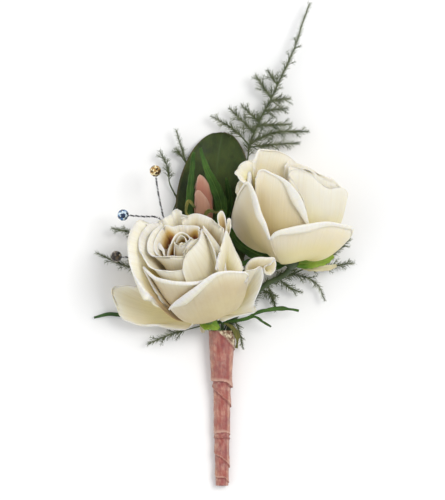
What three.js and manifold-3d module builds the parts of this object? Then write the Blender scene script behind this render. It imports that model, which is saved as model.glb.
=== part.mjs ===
// A boutonniere lying on a table: an open rose, a half-open rose and a bud over a leathery leaf
// and sprays of asparagus fern, with crystal picks, on stems bound in satin ribbon.
// Millimetres. X runs right, Y from the stem ends towards the blooms, Z up from the table.
import * as THREE from 'three';
import Module from 'manifold-3d';
import { mergeVertices } from 'three/addons/utils/BufferGeometryUtils.js';

const wasm = await Module();
wasm.setup();

// Driving dimensions
const CLEARANCE = 0.3;
const PETAL_THICK = 0.7;
const BLADE_THICK = 0.65;
const WELD = 0.001;
const SLIVER = 0.02;
const HIP_GAP = 0.3;
const HIP_MOUTH = 0.65;
const HIP_WIDEST = 0.45;
const LEAF_TIP = 0.35;
const SEPAL_STEP = 3;
const FOOT_LIFT = 0.6;
const BOW_REACH = 0.4;
const WAIST_CROWN = 0.12;
const WAIST_LEAVING = 0.12;
const WAIST_MEETING = 0.6;
const RIM_STEP = 8;
const PETAL_ROWS = 5;

const WRAP_TOP = 26;
const WRAP_WAIST = 5.6;
const WRAP_END = -29;
const WRAP_RADIUS_TOP = 4.65;
const WRAP_RADIUS_WAIST = 3.05;
const WRAP_RADIUS_END = 2.15;
const WRAP_FLAT = 0.25;
const RIBBON_THICK = 0.7;
const BUNDLE_GAP = 0.48;
const RIBBON_RIDGE = 0.42;
const RIBBON_PITCH = 8.2;
const CORE_TOP = 23.5;
const CORE_END = -28.2;

const BEAD_RADIUS = 2.1;
const BEAD_HOLE_DEPTH = 1.2;
const WIRE_RADIUS = 0.36;

const NEEDLE_LENGTH = 3.6;
const NEEDLE_RADIUS = 0.3;
const NEEDLE_SPREAD = 52;
const NEEDLE_SPACING = 2.1;
const FERN_STEM_RADIUS = 0.5;

const GOLDEN_ANGLE = 137.5;
const STEP_LENGTH = 6;

// Each bloom: where its petals start, the plan angle of its axis from +Y towards +X, its rise, the
// radius its petals leave from, its green hip and the tight heart inside
const OPEN_ROSE = {
  base: [-5, 32.5, 11], heading: -21, rise: 40, foot: 2.2,
  hip: { radius: 3.1, length: 6 }, heart: { height: 31, tip: 2.4, belly: 8 },
};
const HALF_ROSE = {
  base: [24.5, 52.4, 12.6], heading: 3, rise: 18, foot: 2.2,
  hip: { radius: 2.6, length: 5 }, heart: { height: 31, tip: 5, belly: 9 },
};
const BUD = {
  base: [-6.2, 62.5, 10.2], heading: -2, rise: 12, foot: 1,
  hip: { radius: 2.4, length: 4 }, heart: { height: 13, tip: 1.4, belly: 2.2 },
};

// Petals. rim: points along the petal's outline, from its left to its right as seen from above. Every
// line from the foot of the petal to a point of it bows outwards. widen and steepen: degrees by which
// such a line leaves the foot wider, and meets the rim steeper, than the straight way, at even steps
// along the rim. waist: the place through which a petal with a narrow claw spreads, in their stead.
const OPEN_PETALS = [
  { name: 'guard', widen: [20, 20], steepen: [22, 22],
    rim: [[-9.5, 29.4, 11], [-12.2, 26.8, 9.8], [-23.6, 28, 9], [-34.5, 29.8, 9], [-36.9, 34.8, 10],
      [-38.4, 40.7, 11], [-31, 41.7, 12], [-25, 39.5, 12.5]] },
  { name: 'left', widen: [15, 62, 62, 45, 45], steepen: [10, 34, 34],
    rim: [[-18.5, 33.7, 18], [-22.4, 36.4, 25], [-26.3, 39.5, 29.5], [-29.6, 45, 32],
      [-31.3, 49.5, 31.5], [-32.6, 56.6, 27.5], [-31.3, 62, 24], [-28.7, 64.5, 21.5],
      [-25.5, 63.6, 21]] },
  { name: 'back left', widen: [50, 50], steepen: [25, 25],
    rim: [[-26.3, 63, 22], [-20.5, 64.9, 22.5], [-17.3, 67.1, 22.5], [-16.2, 68.4, 22],
      [-14.2, 66.7, 24.5], [-11.9, 65.9, 25.5]] },
  { name: 'back right', widen: [50, 50], steepen: [25, 25],
    rim: [[-14.2, 65.1, 26], [-9.5, 66.6, 27], [-5.6, 65.7, 29], [-1.7, 63.6, 31.5], [0.25, 61, 33.5],
      [1, 57.5, 35], [-0.7, 54.4, 35]] },
  { name: 'curled tip', waist: [0.8, 57, 28],
    rim: [[-0.5, 60, 30.5], [-1.4, 64.6, 29.5], [-1.2, 66.8, 29], [-0.1, 67.7, 28.8],
      [0.8, 66.3, 29.2], [1.4, 63, 30], [1.6, 59.5, 30.5]] },
  { name: 'ring', widen: [55, 55], steepen: [30, 30],
    rim: [[-22.4, 63.9, 22], [-25.9, 62.6, 23], [-28.1, 59.8, 25], [-28.7, 56.7, 27.5],
      [-27.9, 53.2, 30.5], [-25.7, 49.7, 33.5], [-22.8, 47.7, 35.5], [-19.7, 47, 37],
      [-15.8, 46.9, 37.6], [-13, 47.6, 37.4], [-11.6, 49.4, 35.5]] },
  { name: 'second ring', widen: [55, 55], steepen: [30, 30],
    rim: [[-20.8, 63.2, 23.5], [-23.8, 60.8, 25.5], [-25.5, 57.5, 27.3], [-25.6, 54.6, 30],
      [-24.2, 52.4, 32.5], [-21.6, 51.9, 34], [-17.3, 52, 35.3], [-13, 52, 36], [-11, 53.5, 34]] },
  { name: 'third ring', widen: [55, 55], steepen: [30, 30],
    rim: [[-16, 63, 25.5], [-18.9, 62.6, 25.5], [-21.8, 60.2, 26], [-23.4, 57.1, 27.3],
      [-23.6, 54.4, 28.5], [-22.4, 52.6, 29.5], [-19.5, 51.5, 30]] },
  { name: 'inner back', widen: [50, 50], steepen: [25, 25],
    rim: [[-20.5, 61.5, 25], [-19.7, 62.8, 25], [-17.3, 62, 25.5], [-14.6, 62.6, 26],
      [-11.9, 62.4, 27], [-9.1, 62.2, 28.5], [-7.6, 60.6, 30.5]] },
  { name: 'swirl', widen: [45, 45], steepen: [20, 20],
    rim: [[-18.5, 51.5, 28], [-18.2, 54.8, 29], [-17.2, 57.5, 29.5], [-15.8, 59.4, 29.8],
      [-14, 60.3, 30], [-12.2, 59.4, 31.2], [-11.2, 57.7, 32.5], [-11, 56, 33]] },
  { name: 'white inner right', widen: [58, 58], steepen: [35, 35],
    rim: [[-13.6, 47, 38.6], [-13.3, 49.7, 38.4], [-12.4, 52.2, 38], [-10.4, 54.6, 37.4],
      [-8.4, 56.7, 36.4], [-7.4, 58.9, 34.8], [-6.8, 61.4, 32.8], [-5.8, 59.8, 33.8], [-4.8, 57, 35.4],
      [-3.7, 53.4, 37], [-2.1, 47.5, 38.8]] },
  { name: 'beak', widen: [45, 45], steepen: [25, 25],
    rim: [[-13.5, 53, 34.5], [-12, 55.5, 34.8], [-10.5, 57.2, 34.8], [-8.6, 57.9, 34.5],
      [-7.9, 58.6, 33.5], [-8.4, 60, 32]] },
  { name: 'right inner', waist: [-3.5, 44, 32],
    rim: [[-6.6, 62.5, 29.8], [-5.2, 60.4, 31.5], [-3.4, 57.5, 33.3], [-1.9, 55, 34.6],
      [-0.6, 51.5, 35.5], [0, 47, 36]] },
  { name: 'triangle', waist: [2.6, 43, 31.5],
    rim: [[-2.2, 47.5, 37.6], [-1.4, 51.3, 37.3], [-0.1, 55.7, 36], [0.8, 58.6, 34.5],
      [1.5, 60.9, 33.2], [2.5, 58.9, 33.2], [4.1, 55.2, 32.8], [5.8, 51.3, 32.4], [7.4, 47.5, 32]] },
  { name: 'curled lobe', waist: [11.6, 46, 28.2],
    rim: [[8.1, 46.4, 29.5], [8.6, 48.9, 30], [10.4, 50.9, 30.6], [12.8, 51.5, 31], [15.5, 51.4, 31.4],
      [18, 51.3, 31.6], [16.8, 49.6, 31.2], [14.6, 48.4, 30.4]] },
  { name: 'front left', widen: [34, 34], steepen: [18, 18],
    rim: [[-18.5, 33.9, 17], [-22.4, 38.8, 26], [-25.5, 44.6, 30], [-27.3, 48.6, 31],
      [-25.7, 47.1, 33], [-22.8, 44.8, 35], [-18.9, 43.8, 36.6], [-14.2, 43.2, 37.6], [-8, 43.2, 37],
      [-4.5, 44.5, 35.5]] },
  { name: 'flare', widen: [40, 40], steepen: [10, 10],
    rim: [[4, 45, 33], [8.5, 47, 33.5], [11.2, 47.6, 32.5], [13.1, 48.7, 31], [13.9, 46.9, 30],
      [14, 44.6, 28.5], [13.1, 41.3, 26], [11.8, 38, 23], [11, 36, 21], [11.3, 34.4, 19.5],
      [12, 32.9, 18], [9, 32.2, 16.5], [6.9, 31.7, 15.5], [2.5, 30.2, 13], [-0.1, 29.1, 11.5]] },
  { name: 'front right', widen: [62, 62, 62, 40, 4], steepen: [30, 30, 30, 16, 4],
    rim: [[-18.3, 33.7, 24], [-15.8, 36.4, 30.5], [-11.9, 39.5, 35], [-8, 42.3, 38],
      [-5.2, 44.6, 39.4], [-2.1, 46.4, 40], [1.5, 47, 39.5], [5.4, 46.8, 38], [8.5, 46.4, 36],
      [9.2, 45, 34.5], [7, 42, 32], [4, 38, 28], [1.4, 34, 23], [-1.3, 29.8, 16]] },
];
const HALF_PETALS = [
  { name: 'back right', widen: [60, 60], steepen: [25, 25],
    rim: [[21.5, 84, 32], [23.1, 86.4, 31], [26.9, 85.4, 30], [30.1, 84.6, 28.5], [33.3, 82.3, 27],
      [36, 81.5, 26], [38.4, 80.6, 25], [39.8, 78.9, 24], [41.6, 76.5, 22.5], [42.5, 72, 19]] },
  { name: 'under left', widen: [60, 60], steepen: [20, 20],
    rim: [[9.5, 80, 30.5], [7, 79, 30], [5.4, 76.8, 29], [4.9, 74, 26], [6, 77, 16], [10, 82, 8],
      [17, 84, 5], [26, 80, 4]] },
  { name: 'under', widen: [62, 62], steepen: [20, 20],
    rim: [[14, 82, 9], [20, 86, 8], [27, 87, 9], [34, 84, 11], [39, 78, 13], [40, 70, 9]] },
  { name: 'top', widen: [62, 62], steepen: [28, 28],
    rim: [[10.2, 75, 32], [10.6, 81, 32.5], [11.7, 85.5, 32], [13.2, 88.9, 31], [14.8, 88.8, 30.5],
      [18.6, 88.6, 29.5], [23.1, 86.6, 29], [26, 84, 28.5]] },
  { name: 'ruffled right', widen: [60, 60], steepen: [25, 25],
    rim: [[23, 83.5, 34], [26, 83.4, 33.6], [30, 83, 32.5], [33.5, 80.8, 31], [36.5, 79.3, 29],
      [39.4, 77.8, 27], [41.8, 76, 24.5], [42.4, 73, 21]] },
  { name: 'right', widen: [60, 60], steepen: [30, 30],
    rim: [[29.7, 63.5, 32.5], [28.4, 70.3, 35], [25.7, 76.2, 36], [23, 80.2, 36], [24.5, 81.8, 35.2],
      [28.2, 81.6, 34.4], [31.4, 79.6, 33.4], [34, 77.2, 32], [37.2, 75.4, 30], [40.5, 76, 27],
      [43.4, 74.2, 24], [43.2, 71.4, 22], [41.6, 68.8, 20], [41.2, 64.5, 17]] },
  { name: 'middle', widen: [62, 62], steepen: [30, 30],
    rim: [[12.1, 64, 29], [11.6, 74.8, 33], [12, 79.9, 34.5], [12.9, 81.8, 34.7], [14.7, 82, 35],
      [17.3, 80.7, 35.6], [19.9, 79.5, 36.3], [22.4, 77.9, 36.8], [24.8, 75.3, 36.8], [27.2, 71.8, 36],
      [28.5, 68.6, 34.8], [29.4, 64.8, 33], [29.6, 61.9, 31]] },
  { name: 'left', widen: [74, 74, 60, 40, 25], steepen: [34, 34],
    rim: [[16.9, 58.2, 33.5], [15.4, 62.9, 35.8], [13.4, 67.7, 36.5], [11.7, 73.5, 35.8],
      [9.9, 77.3, 34.6], [8.8, 77.7, 34], [7.2, 75.8, 31.5], [5.9, 73.5, 28.5], [4.8, 70.6, 25],
      [4, 68, 22], [3.6, 65, 19], [3.9, 62, 16.5], [5.4, 59, 14]] },
  { name: 'white lobe', waist: [9.6, 79.6, 32.6],
    rim: [[11, 82, 34.4], [10.5, 84.6, 34], [8.6, 84.8, 33.6], [6.5, 83.5, 33], [5.6, 81.9, 32.6],
      [4.8, 81, 32.2], [5.7, 80.2, 32.4], [6.3, 79, 32.6], [7.4, 77.8, 33], [9, 77.2, 33.6]] },
  { name: 'lower right', widen: [78, 62, 60], steepen: [30, 30],
    rim: [[16.8, 58.2, 33], [18.6, 61.2, 35.3], [23.7, 63.4, 36.5], [28.2, 64.3, 35.8], [32, 65.2, 34],
      [36.5, 66, 31.5], [38.8, 65.4, 30], [41, 64.1, 29], [43.6, 63.1, 27.5], [45.2, 62.3, 25.5],
      [44.6, 59, 22], [40.8, 55.4, 18], [36.5, 53.4, 14.5], [33, 52, 12]] },
];
const BUD_PETALS = [
  { name: 'under', widen: [35, 35], steepen: [15, 15],
    rim: [[-9.2, 72, 13], [-9.3, 76, 11.8], [-7.6, 79.5, 11.5], [-4.8, 77, 11], [-3.3, 73, 11]] },
  { name: 'upper', widen: [35, 35], steepen: [15, 15],
    rim: [[-9, 70, 13.2], [-8.7, 77.5, 15], [-7.9, 80.4, 15.3], [-6.9, 80, 15.6], [-5.4, 78.2, 15.7],
      [-4.3, 75.5, 15], [-3.4, 71.5, 13]] },
  { name: 'lower', widen: [35, 35], steepen: [15, 15],
    rim: [[-9.1, 69, 14], [-9, 74.5, 15.5], [-7.9, 75, 16.2], [-6.6, 73.8, 16.8], [-5.2, 71.8, 16.6],
      [-4.4, 69.5, 15.6], [-4.6, 67, 14.5]] },
];

// Sepals and leaves follow a spine of points; wide is the half width at the widest place
const OPEN_SEPALS = [
  { spine: [[-5.6, 28.8, 10.4], [-3.4, 28, 11.2], [-1.2, 26.6, 10.2]], wide: 1.8, fold: 0.5 },
  { spine: [[-1, 29, 8], [4.5, 29.4, 8.3], [8.4, 30.3, 8.2], [11.9, 32, 8], [14.7, 32.9, 7.6],
    [18.5, 33.6, 7], [22, 33.8, 6.4], [24.5, 33.3, 5.9], [27, 32.9, 5.4]],
    wide: 0.65, fold: 0.3, blunt: 4, widest: 0.78 },
  { spine: [[2, 29.3, 8], [8.4, 30, 8.1], [11.4, 31, 7.7], [14.2, 29.3, 6.6], [17.2, 27.2, 5.6]],
    wide: 0.15, fold: 0 },
  { spine: [[0.6, 28.6, 9.4], [2.9, 26.2, 9.8], [4.2, 23, 9], [4.9, 20, 7.4]],
    wide: 0.55, fold: 0.3, widest: 0.75 },
  { spine: [[-5.8, 29, 9], [-6.8, 27.4, 8.6], [-6.5, 25.2, 7.2]], wide: 0.5, fold: 0.3 },
];
const HALF_SEPALS = [
  { spine: [[26.4, 48.8, 11.6], [29.6, 48.2, 12], [33, 48.4, 11.4], [36, 49.2, 10.6], [39.2, 51.6, 9.8]],
    wide: 1.9, fold: 0.35 },
  { spine: [[30, 49.6, 10.4], [34.5, 49.4, 9.2], [40.4, 49.6, 8.6]], wide: 1.2, fold: 0.3 },
  { spine: [[17.6, 51, 10.2], [11, 53.4, 9], [5.6, 57, 8.8], [2.4, 62.6, 9.4]], wide: 1.8, fold: 0.3 },
  { spine: [[17, 48.6, 8.4], [11, 50, 7.6], [5, 49, 8.4]], wide: 1.2, fold: 0.3 },
];
const BUD_SEPALS = [
  { spine: [[-9.8, 61.4, 9.2], [-11.2, 66, 10.8], [-10.8, 78, 12.8], [-9.8, 88.5, 14.5]],
    wide: 0.9, fold: 0.4 },
  { spine: [[-2.4, 61.2, 9.2], [-0.9, 64.5, 10.2], [-0.2, 69.5, 12], [-2.2, 76, 14], [-5.4, 82.6, 16.6],
    [-7.6, 90, 16.4]], wide: 1.7, fold: 0.4 },
  { spine: [[-1.4, 62, 8], [2.4, 71, 8.8], [1.4, 79.5, 11]], wide: 1.1, fold: 0.3 },
];
const LARGE_LEAF = {
  spine: [[-1.6, 41, 1.9], [-2.6, 52, 2.5], [-2.8, 70, 3.1], [-1.5, 84, 3], [0.2, 95.6, 0.7]],
  wide: 13.2, fold: 0.05, blunt: 0.45,
};
const SLENDER_LEAF = {
  spine: [[-11, 30.2, 1], [-22, 30.2, 1.3], [-30, 30.7, 1.4], [-36, 31.5, 1.5], [-40, 31.8, 1.5],
    [-45, 30.4, 1.6]],
  wide: 0.45, fold: 0.2,
};

// Stems, from what they carry down into the bound bundle: points and radius
const STEMS = {
  openRose: { radius: 1.1,
    points: [[-3.6, 28.6, 7.6], [-1.4, 26, 5.7], [-0.5, 23.5, 5.3], [-0.45, 17, 4.9]] },
  halfRose: { radius: 0.95,
    points: [[24.2, 48.4, 11.4], [21.6, 45.4, 10.2], [15.4, 42.2, 8.6], [9.4, 36.6, 7], [4.6, 30.6, 5.6],
      [2.6, 27.2, 4.8], [1.95, 23.5, 4.35], [1.6, 17, 4.1]] },
  bud: { radius: 0.65, points: [[-6.4, 60, 9.8], [-6, 50, 6.4], [-3.6, 38, 4.2], [-1.9, 28, 3.4],
    [-1.45, 23.5, 3.3], [-1.3, 18, 3.2]] },
  leaf: { radius: 0.55, points: [[-1.6, 44, 2.2], [-0.4, 36, 1.8], [0.2, 28, 2.2], [0.15, 23.5, 2.75],
    [0.15, 18, 2.7]] },
};
const SLENDER_TWIG = {
  radius: 0.45, points: [[0, 33, 1.9], [-3, 31.6, 0.8], [-8, 30.6, 0.7], [-13, 30.2, 1]],
};

const FERN_TALL = [
  { route: [[1.6, 19, 2.4], [1.7, 23.5, 2.3], [2.4, 28, 2.9], [7, 40, 2.2], [7.5, 54, 1.1], [7.6, 70, 1.1],
    [8.2, 82, 1.1], [9.2, 87.4, 1.5], [9.6, 91, 3.6], [13.3, 100, 4.8], [17.1, 107, 5], [21, 115.5, 5.2],
    [24.1, 122, 5.4], [26.6, 128.4, 5.2], [28, 133.3, 4.8], [30.8, 140.7, 4.2]], bare: 0.6, fat: 1.1 },
  { route: [[17.1, 107.8, 5], [11.9, 115.5, 5.6]], bare: 0 },
  { route: [[19.6, 112, 5], [16.1, 117.2, 6]], bare: 0.1 },
  { route: [[13.3, 99, 5], [7, 105, 4.6]], bare: 0 },
  { route: [[11.5, 95.2, 5], [2.8, 103.9, 4.2]], bare: 0 },
  { route: [[9.6, 91, 3.6], [4.4, 96.4, 4.6], [-3.5, 101.1, 4.4]], bare: 0.2 },
  { route: [[17.1, 106.8, 5], [23.8, 107.4, 4.6]], bare: 0 },
  { route: [[15, 103.2, 5], [22.8, 104, 5.6]], bare: 0 },
  { route: [[12.4, 98, 5], [24.1, 98.4, 4.4]], bare: 0 },
  { route: [[9.8, 91.7, 3.8], [18, 95.4, 4.4], [25.5, 95.9, 4.4], [30.1, 95.9, 4.2]], bare: 0 },
  { route: [[9.4, 90.4, 3.4], [20, 91.4, 3.6], [26.9, 91.8, 3.6]], bare: 0.15 },
];
const FERN_LEFT = [
  { route: [[-1.05, 19, 1.9], [-1.15, 23.5, 1.75], [-3, 29, 1.8], [-6, 33.5, 2.1], [-9, 38, 1.3],
    [-17, 50, 1.1], [-18.6, 62, 1.1], [-15.6, 72, 1], [-11.5, 80, 1], [-13.6, 88, 3.2], [-16.1, 96.2, 4.6]],
    bare: 0.86 },
  { route: [[-15.6, 72, 1], [-18.5, 78, 3], [-18.9, 82.6, 3.6], [-21.7, 88.9, 4]], bare: 0.45 },
  { route: [[-12.4, 84.6, 2.4], [-16.1, 89.8, 3.2]], bare: 0.4 },
  { route: [[-18.4, 57, 1.7], [-27, 59.4, 3.2], [-33, 60.6, 3.6], [-38.5, 61.9, 4]], bare: 0.3 },
  { route: [[-14, 45.6, 1.1], [-24, 46.6, 1.8], [-34, 48.8, 3.6], [-44.1, 53.2, 3.8]],
    bare: 0.4, fat: 1.1 },
  { route: [[-2.7, 28.4, 1.7], [-6, 27.8, 1.7], [-11, 26.6, 2.8], [-18, 24.6, 3.4], [-25.9, 21.3, 3.6]],
    bare: 0.42 },
];
const FERN_RIGHT = [
  { route: [[0.45, 19, 1.4], [0.45, 23.5, 1.3], [0.8, 26, 1.5], [3, 30, 1.2], [9, 34, 1.8], [14, 40.6, 3.2],
    [23.8, 45.4, 3.4], [29, 44.8, 3.4], [33.6, 42, 3.5], [36, 36.8, 3.6]], bare: 0.36, fat: 1.1 },
  { route: [[16, 42.2, 3.2], [18.2, 35.7, 3.6]], bare: 0.15 },
  { route: [[23.8, 45.4, 3.4], [32, 50.6, 3.4], [42, 56.7, 3.8]], bare: 0.3 },
  { route: [[28, 48, 3.4], [37, 48.4, 3.4], [46.2, 49.7, 3.6]], bare: 0.2 },
  { route: [[3, 30, 1.2], [5, 28.8, 2.4], [6.6, 25, 3.2], [7.6, 19.6, 3.4]], bare: 0.3, size: 0.45 },
];

// Crystal picks: the bead's centre, and its wire from the bead into the bundle
const PICKS = [
  { name: 'amber', color: 0x9a6a1c, bead: [-23.3, 81.9, 15],
    wire: [[-22.6, 76, 13.5], [-20.6, 66, 10.5], [-17.4, 54, 5], [-9.4, 38, 4.6], [-3.6, 27.4, 5.2],
      [-2.3, 23.5, 5], [-2.1, 20, 4.9]] },
  { name: 'blue', color: 0x30506e, bead: [-34.6, 66.5, 14],
    wire: [[-28, 66, 12.6], [-22, 65.4, 10.6], [-19.6, 60, 7], [-18, 52, 4], [-9.8, 36.4, 3.5],
      [-3.7, 27, 4.1], [-2.65, 23.5, 3.9], [-2.5, 20, 3.9]] },
  { name: 'smoky', color: 0x4a3a30, bead: [-37.1, 52, 9],
    wire: [[-31, 51.4, 6.6], [-23, 49.6, 4], [-17, 44, 2.4], [-11, 36, 2.5], [-3.3, 27, 3],
      [-2.35, 23.5, 2.35], [-2.2, 20, 2.5]] },
];

const COLORS = {
  cream: 0xefe6cc, calyx: 0x4f7a34, budPetal: 0xa8705a, leaf: 0x2b4420, slender: 0x2f5a26,
  fern: 0x55603f, ribbon: 0xcf9484, tape: 0x556b3c, wire: 0x6a6a6e,
};

const radians = THREE.MathUtils.degToRad;
const lerp = THREE.MathUtils.lerp;
const vec = (p) => new THREE.Vector3(...p);
const smooth = (t) => THREE.MathUtils.smoothstep(t, 0, 1);
const UP = new THREE.Vector3(0, 0, 1);

// Solids and joins
function toSolid(geometry) {
  const bare = geometry.index ? geometry.toNonIndexed() : geometry.clone();
  bare.deleteAttribute('normal');
  bare.deleteAttribute('uv');
  const merged = mergeVertices(bare, WELD);
  return new wasm.Manifold(new wasm.Mesh({
    numProp: 3,
    vertProperties: new Float32Array(merged.attributes.position.array),
    triVerts: new Uint32Array(merged.index.array),
  }));
}

function toGeometry(solid) {
  const mesh = solid.getMesh();
  const geometry = new THREE.BufferGeometry();
  geometry.setAttribute('position', new THREE.BufferAttribute(new Float32Array(mesh.vertProperties), 3));
  geometry.setIndex(new THREE.BufferAttribute(new Uint32Array(mesh.triVerts), 1));
  geometry.computeVertexNormals();
  return geometry;
}

// Keeps the largest closed shell, so hollows that joining sealed are filled and scraps dropped
function largestShell(solid) {
  const { vertProperties, triVerts } = solid.getMesh();
  const owner = Array.from({ length: vertProperties.length / 3 }, (_, i) => i);
  const find = (i) => {
    let root = i;
    while (owner[root] !== root) root = owner[root];
    while (owner[i] !== root) [owner[i], i] = [root, owner[i]];
    return root;
  };
  for (let i = 0; i < triVerts.length; i += 3) {
    owner[find(triVerts[i])] = find(triVerts[i + 1]);
    owner[find(triVerts[i + 2])] = find(triVerts[i + 1]);
  }
  const volumes = new Map();
  const corner = (i) => new THREE.Vector3().fromArray(vertProperties, 3 * triVerts[i]);
  for (let i = 0; i < triVerts.length; i += 3) {
    const shell = find(triVerts[i]);
    const part = corner(i).dot(corner(i + 1).cross(corner(i + 2))) / 6;
    volumes.set(shell, (volumes.get(shell) ?? 0) + part);
  }
  const [largest] = [...volumes.entries()].reduce((a, b) => (b[1] > a[1] ? b : a));
  const kept = triVerts.filter((_, k) => find(triVerts[k - (k % 3)]) === largest);
  const used = [...new Set(kept)];
  const place = new Map(used.map((old, i) => [old, i]));
  return new wasm.Manifold(new wasm.Mesh({
    numProp: 3,
    vertProperties: new Float32Array(used.flatMap((old) => (
      [...vertProperties.slice(3 * old, 3 * old + 3)]))),
    triVerts: new Uint32Array([...kept].map((old) => place.get(old))),
  }));
}

function fuse(solids) {
  let round = solids;
  while (round.length > 1) {
    const next = [];
    for (let i = 0; i < round.length; i += 2) {
      next.push(i + 1 < round.length ? round[i].add(round[i + 1]) : round[i]);
    }
    round = next;
  }
  // Meshed anew, a hollow that touched the outside at a corner comes apart and is filled too
  const filled = largestShell(round[0].simplify(SLIVER));
  return largestShell(toSolid(toGeometry(filled)).simplify(SLIVER));
}

const lengthOf = (points) => new THREE.CatmullRomCurve3(points.map(vec)).getLength();
const stepsAlong = (points) => Math.max(4, Math.round(lengthOf(points) / STEP_LENGTH));

// A round rod along a smooth curve through the points
function rod(points, radius, sides, steps = stepsAlong(points)) {
  const section = new THREE.Shape();
  for (let i = 0; i < sides; i++) {
    const angle = (2 * Math.PI * i) / sides;
    const [x, y] = [radius * Math.cos(angle), radius * Math.sin(angle)];
    if (i === 0) section.moveTo(x, y);
    else section.lineTo(x, y);
  }
  const extrudePath = new THREE.CatmullRomCurve3(points.map(vec));
  return toSolid(new THREE.ExtrudeGeometry(section, { steps, extrudePath, bevelEnabled: false }));
}

// A thin closed blade over a surface(u, v), u from -1 to 1 and v from 0 to 1, whose two faces are
// split into triangles alike
function blade(surface, across, along, thick) {
  const count = (across + 1) * (along + 1);
  const positions = [];
  for (const face of [0.5, -0.5]) {
    for (let j = 0; j <= along; j++) {
      for (let i = 0; i <= across; i++) {
        const { point, normal } = surface((2 * i) / across - 1, j / along);
        positions.push(...point.addScaledVector(normal, face * thick).toArray());
      }
    }
  }
  const at = (i, j) => i + j * (across + 1);
  const faces = [];
  for (let j = 0; j < along; j++) {
    for (let i = 0; i < across; i++) {
      const [a, b, c, d] = [at(i, j), at(i + 1, j), at(i + 1, j + 1), at(i, j + 1)];
      const halves = (i + j) % 2 ? [[a, b, c], [a, c, d]] : [[a, b, d], [b, c, d]];
      for (const [p, q, r] of halves) faces.push([p, q, r], [count + p, count + r, count + q]);
    }
  }
  const rim = [];
  for (let i = 0; i < across; i++) rim.push([at(i, 0), at(i + 1, 0)], [at(i + 1, along), at(i, along)]);
  for (let j = 0; j < along; j++) rim.push([at(across, j), at(across, j + 1)], [at(0, j + 1), at(0, j)]);
  for (const [p, q] of rim) faces.push([p, count + p, count + q], [p, count + q, q]);

  const [here, right, up] = [[0, 0.5], [0.1, 0.5], [0, 0.6]].map(([u, v]) => surface(u, v));
  const facing = right.point.sub(here.point).cross(up.point.sub(here.point)).dot(here.normal);
  const index = faces.flatMap(([p, q, r]) => (facing > 0 ? [p, q, r] : [p, r, q]));
  const geometry = new THREE.BufferGeometry();
  geometry.setAttribute('position', new THREE.Float32BufferAttribute(positions, 3));
  geometry.setIndex(index);
  return toSolid(geometry);
}

// Blooms
function bloomFrame({ base, heading, rise, ...sizes }) {
  const [turn, tilt] = [radians(heading), radians(rise)];
  const plan = new THREE.Vector3(Math.sin(turn), Math.cos(turn), 0);
  const axis = plan.clone().multiplyScalar(Math.cos(tilt)).setZ(Math.sin(tilt));
  const upper = plan.clone().multiplyScalar(-Math.sin(tilt)).setZ(Math.cos(tilt));
  const right = new THREE.Vector3(plan.y, -plan.x, 0);
  return { base: vec(base), axis, upper, right, ...sizes };
}

// A value given at even steps along the rim, at u from -1 to 1
function alongRim(values, u) {
  const place = ((u + 1) / 2) * (values.length - 1);
  const low = Math.min(Math.floor(place), values.length - 2);
  return lerp(values[low], values[low + 1], smooth(place - low));
}

// The line from the foot of a petal to one point of its rim
function petalLine(frame, petal, end, u) {
  const outward = end.clone().sub(frame.base);
  const up = outward.dot(frame.axis);
  outward.addScaledVector(frame.axis, -up);
  const out = outward.length();
  outward.normalize();
  const foot = frame.base.clone().addScaledVector(frame.axis, FOOT_LIFT)
    .addScaledVector(outward, Math.min(frame.foot, out / 2));
  if (petal.waist) {
    const waist = vec(petal.waist);
    const meeting = waist.clone().lerp(end, WAIST_MEETING);
    meeting.z += WAIST_CROWN * end.distanceTo(waist);
    return new THREE.CubicBezierCurve3(foot, waist.clone().lerp(end, WAIST_LEAVING), meeting, end);
  }
  const chord = Math.atan2(out, up);
  const reach = end.distanceTo(foot) * BOW_REACH;
  const [widen, steepen] = [petal.widen, petal.steepen].map((values) => radians(alongRim(values, u)));
  const heading = (angle) => frame.axis.clone().multiplyScalar(Math.cos(angle) * reach)
    .addScaledVector(outward, Math.sin(angle) * reach);
  return new THREE.CubicBezierCurve3(
    foot, foot.clone().add(heading(chord + widen)), end.clone().sub(heading(chord - steepen)), end);
}

function petalSurface(frame, petal, rim) {
  const NEAR = 0.01;
  const at = (u, v) => petalLine(frame, petal, rim.getPointAt((u + 1) / 2), u).getPoint(v);
  return (u, v) => {
    const across = at(Math.min(u + NEAR, 1), v).sub(at(Math.max(u - NEAR, -1), v));
    const along = at(u, Math.min(v + NEAR, 1)).sub(at(u, Math.max(v - NEAR, 0)));
    return { point: at(u, v), normal: across.cross(along).normalize() };
  };
}

// The tight heart that the inner petals stand out of
function heart(frame) {
  const { height, tip, belly } = frame.heart;
  const profile = [[0, HIP_GAP], [frame.foot + 1, HIP_GAP], [belly, height * 0.2], [belly, height * 0.4],
    [tip, height * 0.7], [tip * 0.55, height * 0.95], [0, height]].map(([x, y]) => new THREE.Vector2(x, y));
  return toSolid(along(frame, new THREE.LatheGeometry(profile, 8)));
}

// Stands a shape made round the Y axis on the bloom's axis
function along(frame, geometry) {
  const basis = new THREE.Matrix4().makeBasis(frame.right, frame.axis, frame.upper);
  return geometry.applyMatrix4(basis.setPosition(frame.base));
}

function bloom(frame, petals) {
  const blades = petals.map((petal) => {
    const rim = new THREE.CatmullRomCurve3(petal.rim.map(vec), false, 'centripetal');
    const across = Math.max(3, Math.round(rim.getLength() / RIM_STEP));
    return blade(petalSurface(frame, petal, rim), across, PETAL_ROWS, PETAL_THICK);
  });
  return fuse([...blades, heart(frame)]);
}

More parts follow.
